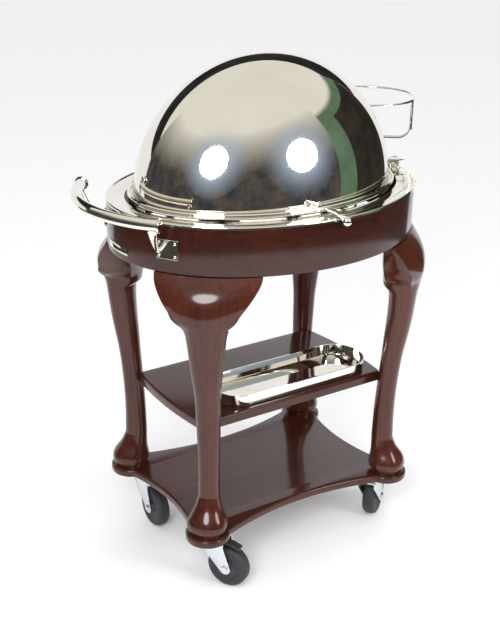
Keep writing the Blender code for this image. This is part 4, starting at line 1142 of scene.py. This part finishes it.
class TROLLEY_OT_castors(bpy.types.Operator):
    """Four swivel castors: plates, forks, wheels and two brake pedals"""

    bl_idname = "trolley.castors"
    bl_label = "Castors"

    def execute(self, context):
        colours = context.scene.trolley_colours
        zinc = metal("zinc_plate", rgba(colours.zinc), rgba(colours.zinc, 0.82))
        for corner in corners:
            for part in ("castor_mount_", "castor_fork_"):
                node = part + corner
                refined_copy(node, node + "_piece", zinc, castor_round)
            self.add_wheel(colours, corner)
            pedal = "castor_pedal_" + corner
            if pedal in body_of:
                plastic = mottled("pedal_plastic", colours.pedal_plastic)
                refined_copy(pedal, "brake_pedal_" + corner, plastic, pedal_round)
        return {"FINISHED"}

    def add_wheel(self, colours, corner):
        joint = joint_of["wheel_spin_" + corner]
        place = Matrix.Translation(joint["pos_m"]) @ toward(joint["axis"])
        tyre = turned("tyre_" + corner, both_sides(tyre_rows), 96, ends="bridge")
        rubber = mottled("tyre_rubber", colours.rubber)
        settle(moved(tyre, place), rubber, "castor_tyre_" + corner)
        hub = turned("wheel_centre_" + corner, both_sides(hub_rows), 72, ends="bridge")
        plastic = mottled("hub_plastic", colours.hub_plastic)
        settle(moved(hub, place), plastic, "castor_hub_" + corner)


# Studio

view_from = Vector((-1.440, -2.012, 1.582))
view_to = Vector((-0.0904, 0.002, 0.568))
view_roll = math.radians(0.928)
view_lens = 81.2
sensor_width = 36.0
lamp_aim = Vector((body_middle.x, body_middle.y, 0.95))
floor_side = 60
carpet_height = 0.004
halo_core_share = 0.3

# What the camera, the faces and the silver see of the world
camera_white = (0.95, 0.952, 0.96, 1)
soft_white = (0.96, 0.96, 0.97, 1)
ceiling = (0.80, 0.78, 0.71, 1)

# Pairs of tones for the cards, and the halos' colour
room_tones = ((0.035, 0.042, 0.052, 1), (0.11, 0.09, 0.075, 1))
green_tones = ((0.10, 0.17, 0.105, 1), (0.13, 0.21, 0.14, 1))
side_tones = ((0.040, 0.034, 0.028, 1), (0.022, 0.020, 0.018, 1))
paper_tones = ((0.92, 0.92, 0.93, 1), (0.90, 0.90, 0.91, 1))
back_tones = ((0.016, 0.016, 0.018, 1), (0.034, 0.033, 0.032, 1))
carpet_tones = ((0.075, 0.066, 0.060, 1), (0.050, 0.045, 0.042, 1))
halo_blue = (0.42, 0.52, 0.68, 1)

# Azimuth, elevation, the halo's distance and radius, and the lamp's distance, size and power
bright_lamps = {
    "key": (-138, 23, 2.9, 1.9, 2.7, 1.15, 44),
    "second": (-68, 17, 3.0, 1.7, 2.8, 1.05, 27),
}


def add_camera():
    forward = (view_to - view_from).normalized()
    right = forward.cross(upward).normalized()
    up = right.cross(forward)
    across = right * math.cos(view_roll) + up * math.sin(view_roll)
    above = up * math.cos(view_roll) - right * math.sin(view_roll)
    data = bpy.data.cameras.new("camera")
    data.lens = view_lens
    data.sensor_fit = "HORIZONTAL"
    data.sensor_width = sensor_width
    camera = new_object("camera", data)
    turn = Matrix((across, above, -forward)).transposed().to_4x4()
    camera.matrix_world = Matrix.Translation(view_from) @ turn
    bpy.context.scene.camera = camera


def direction(azimuth, elevation):
    azimuth, elevation = math.radians(azimuth), math.radians(elevation)
    flat = math.cos(elevation)
    return Vector((flat * math.cos(azimuth), flat * math.sin(azimuth), math.sin(elevation)))


def add_lamp(name, azimuth, elevation, distance, size, power):
    """A round soft lamp that looks at the lid's middle."""
    data = bpy.data.lights.new(name, "AREA")
    data.shape = "DISK"
    data.size = size
    data.energy = power
    lamp = new_object(name, data)
    away = direction(azimuth, elevation)
    lamp.matrix_world = Matrix.Translation(lamp_aim + away * distance) @ toward(away)
    return lamp


def reflected_only(piece, look):
    """Give a studio piece its look, so that polished faces reflect it and the camera doesn't see it."""
    piece.data.materials.append(look)
    for rays in ("camera", "diffuse", "shadow", "transmission", "volume_scatter"):
        setattr(piece, "visible_" + rays, False)


def grid_card(name, columns, place, look):
    """A card whose corners come from a function of the shares along and across it."""
    start_fresh()
    bpy.ops.mesh.primitive_grid_add(x_subdivisions=columns, y_subdivisions=2, size=1)
    piece = named(name)
    for vertex in piece.data.vertices:
        vertex.co = place(vertex.co.x + 0.5, vertex.co.y + 0.5)
    reflected_only(piece, look)


def card(name, places, low, high, look):
    """An upright card over these places on the floor."""
    last = len(places) - 1

    def place(along, up):
        return (*places[round(along * last)], low + (high - low) * up)

    grid_card(name, last, place, look)


def carpet(name, inner, outer, start, end, look):
    """A level card round the front of the floor, a little above it."""

    def place(along, out):
        turn = math.radians(start + (end - start) * along)
        radius = inner + (outer - inner) * out
        return radius * math.cos(turn), radius * math.sin(turn), carpet_height

    grid_card(name, 48, place, look)


def round_wall(radius, start, end):
    return arc((0, 0), radius, math.radians(start), math.radians(end), 48)


def straight_wall(azimuth, distance, start, end):
    """Places along a wall that faces the middle of the floor, from its right end to its left."""
    away = direction(azimuth, 0) * distance
    along = direction(azimuth + 90, 0)
    steps = [start + (end - start) * index / 24 for index in range(25)]
    return [(away + along * step).to_tuple()[:2] for step in steps]


def glow_look(name, dark, pale=None, low=0.0, high=1.0):
    """A card's glow: two uneven tones, fading with height to a pale one if there is one."""
    material = bpy.data.materials.new(name)
    material.use_nodes = True
    tree = material.node_tree
    tree.nodes.remove(tree.nodes["Principled BSDF"])
    place = add_node(tree, "TexCoord").outputs["Object"]
    patches = noise(tree, place, 1.4, 4.0, 0.65)
    colour = between(tree, spread(tree, patches, 0.38, 0.62), dark[0], dark[1])
    if pale:
        height = add_node(tree, "SeparateXYZ", Vector=place).outputs["Z"]
        colour = between(tree, spread(tree, height, low, high), colour, pale)
    glow = add_node(tree, "Emission", Color=colour, Strength=1.0)
    tree.links.new(glow.outputs[0], tree.nodes["Material Output"].inputs["Surface"])
    return material


def add_halo(name, azimuth, elevation, distance, radius):
    """A soft round glow behind a lamp that only polished faces reflect."""
    away = direction(azimuth, elevation)
    centre = lamp_aim + away * distance
    start_fresh()
    bpy.ops.mesh.primitive_circle_add(vertices=64, radius=radius, fill_type="NGON")
    halo = moved(named(name), Matrix.Translation(centre) @ toward(away))
    material = glow_look(name, (halo_blue, halo_blue))
    tree = material.node_tree
    place = add_node(tree, "TexCoord").outputs["Object"]
    gap = add_node(tree, "VectorMath", Vector=place)
    gap.operation = "DISTANCE"
    gap.inputs[1].default_value = centre
    fade = spread(tree, gap.outputs["Value"], radius * halo_core_share, radius, 1.0, 0.0)
    clear = add_node(tree, "BsdfTransparent").outputs[0]
    mixed = add_node(tree, "MixShader")
    glow = tree.nodes["Emission"].outputs[0]
    for index, value in enumerate((maths(tree, "MULTIPLY", fade, fade), clear, glow)):
        tree.links.new(value, mixed.inputs[index])
    tree.links.new(mixed.outputs[0], tree.nodes["Material Output"].inputs["Surface"])
    reflected_only(halo, material)


def set_world():
    world = bpy.data.worlds.new("studio")
    bpy.context.scene.world = world
    world.use_nodes = True
    tree = world.node_tree
    seen = add_node(tree, "LightPath").outputs
    direct = maths(tree, "MAXIMUM", seen["Is Camera Ray"], seen["Is Transmission Ray"])
    colour = between(tree, seen["Is Glossy Ray"], soft_white, ceiling)
    colour = between(tree, direct, colour, camera_white)
    background = tree.nodes["Background"]
    tree.links.new(colour, background.inputs["Color"])
    background.inputs["Strength"].default_value = 1.0


class TROLLEY_OT_stage(bpy.types.Operator):
    """The pale floor, the soft lamps, the cards that the silver reflects, and the camera"""

    bl_idname = "trolley.stage"
    bl_label = "Studio"

    def execute(self, context):
        start_fresh()
        bpy.ops.mesh.primitive_grid_add(x_subdivisions=8, y_subdivisions=8, size=floor_side)
        floor = named("floor")
        floor.data.materials.append(
            mottled("studio_floor", context.scene.trolley_colours.floor))
        behind = straight_wall(62, 1.88, -1.9, 9.0)
        # Name, places, foot, top, tones, and what the tones fade to between two heights
        for name, places, low, high, *tones in (
            ("room_front", round_wall(3.3, -228, -43), 0.0, 4.4, room_tones, ceiling, 1.7, 4.2),
            ("green_side", round_wall(3.35, -43, 17), 0.0, 3.6, green_tones, ceiling, 3.3, 3.6),
            ("dark_side", round_wall(3.3, -28, 17), 0.0, 2.8, side_tones),
            ("paper", behind, 0.0, 1.71, paper_tones),
            ("dark_back", behind, 1.71, 2.9, back_tones),
        ):
            card(name, places, low, high, glow_look(name, *tones))
        carpet("carpet", 1.85, 3.3, -248, 17, glow_look("carpet", carpet_tones))
        for name, (azimuth, elevation, back, radius, away, size, power) in bright_lamps.items():
            add_halo(name + "_halo", azimuth, elevation, back, radius)
            add_lamp(name, azimuth, elevation, away, size, power)
        add_lamp("top", -110, 78, 3.2, 2.2, 12).visible_glossy = False
        add_camera()
        set_world()
        context.scene.view_settings.view_transform = "Standard"
        return {"FINISHED"}


# Add-on


class TROLLEY_PT_panel(bpy.types.Panel):
    """Lists the trolley's pieces"""

    bl_idname = "TROLLEY_PT_panel"
    bl_label = "Carving trolley"
    bl_space_type = "VIEW_3D"
    bl_region_type = "UI"
    bl_category = "Trolley"

    def draw(self, context):
        for operator in operators:
            self.layout.operator(operator.bl_idname)
        for group in given(context):
            for name in group.__annotations__:
                self.layout.prop(group, name)


operators = (
    TROLLEY_OT_stage,
    TROLLEY_OT_legs,
    TROLLEY_OT_shelves,
    TROLLEY_OT_apron,
    TROLLEY_OT_top_ring,
    TROLLEY_OT_lid,
    TROLLEY_OT_lid_fittings,
    TROLLEY_OT_pan,
    TROLLEY_OT_handle,
    TROLLEY_OT_fittings,
    TROLLEY_OT_plate_ring,
    TROLLEY_OT_tray,
    TROLLEY_OT_castors,
)
classes = (TrolleySizes, TrolleyColours) + operators + (TROLLEY_PT_panel,)


def register():
    for item in classes:
        bpy.utils.register_class(item)
    bpy.types.Scene.trolley_sizes = bpy.props.PointerProperty(type=TrolleySizes)
    bpy.types.Scene.trolley_colours = bpy.props.PointerProperty(type=TrolleyColours)


def unregister():
    del bpy.types.Scene.trolley_colours
    del bpy.types.Scene.trolley_sizes
    for item in reversed(classes):
        bpy.utils.unregister_class(item)


def main():
    register()
    for operator in operators:
        family, action = operator.bl_idname.split(".")
        result = getattr(getattr(bpy.ops, family), action)()
        if "FINISHED" not in result:
            raise RuntimeError("a piece could not be built: " + operator.bl_label)
    start_fresh()


if __name__ == "__main__":
    main()
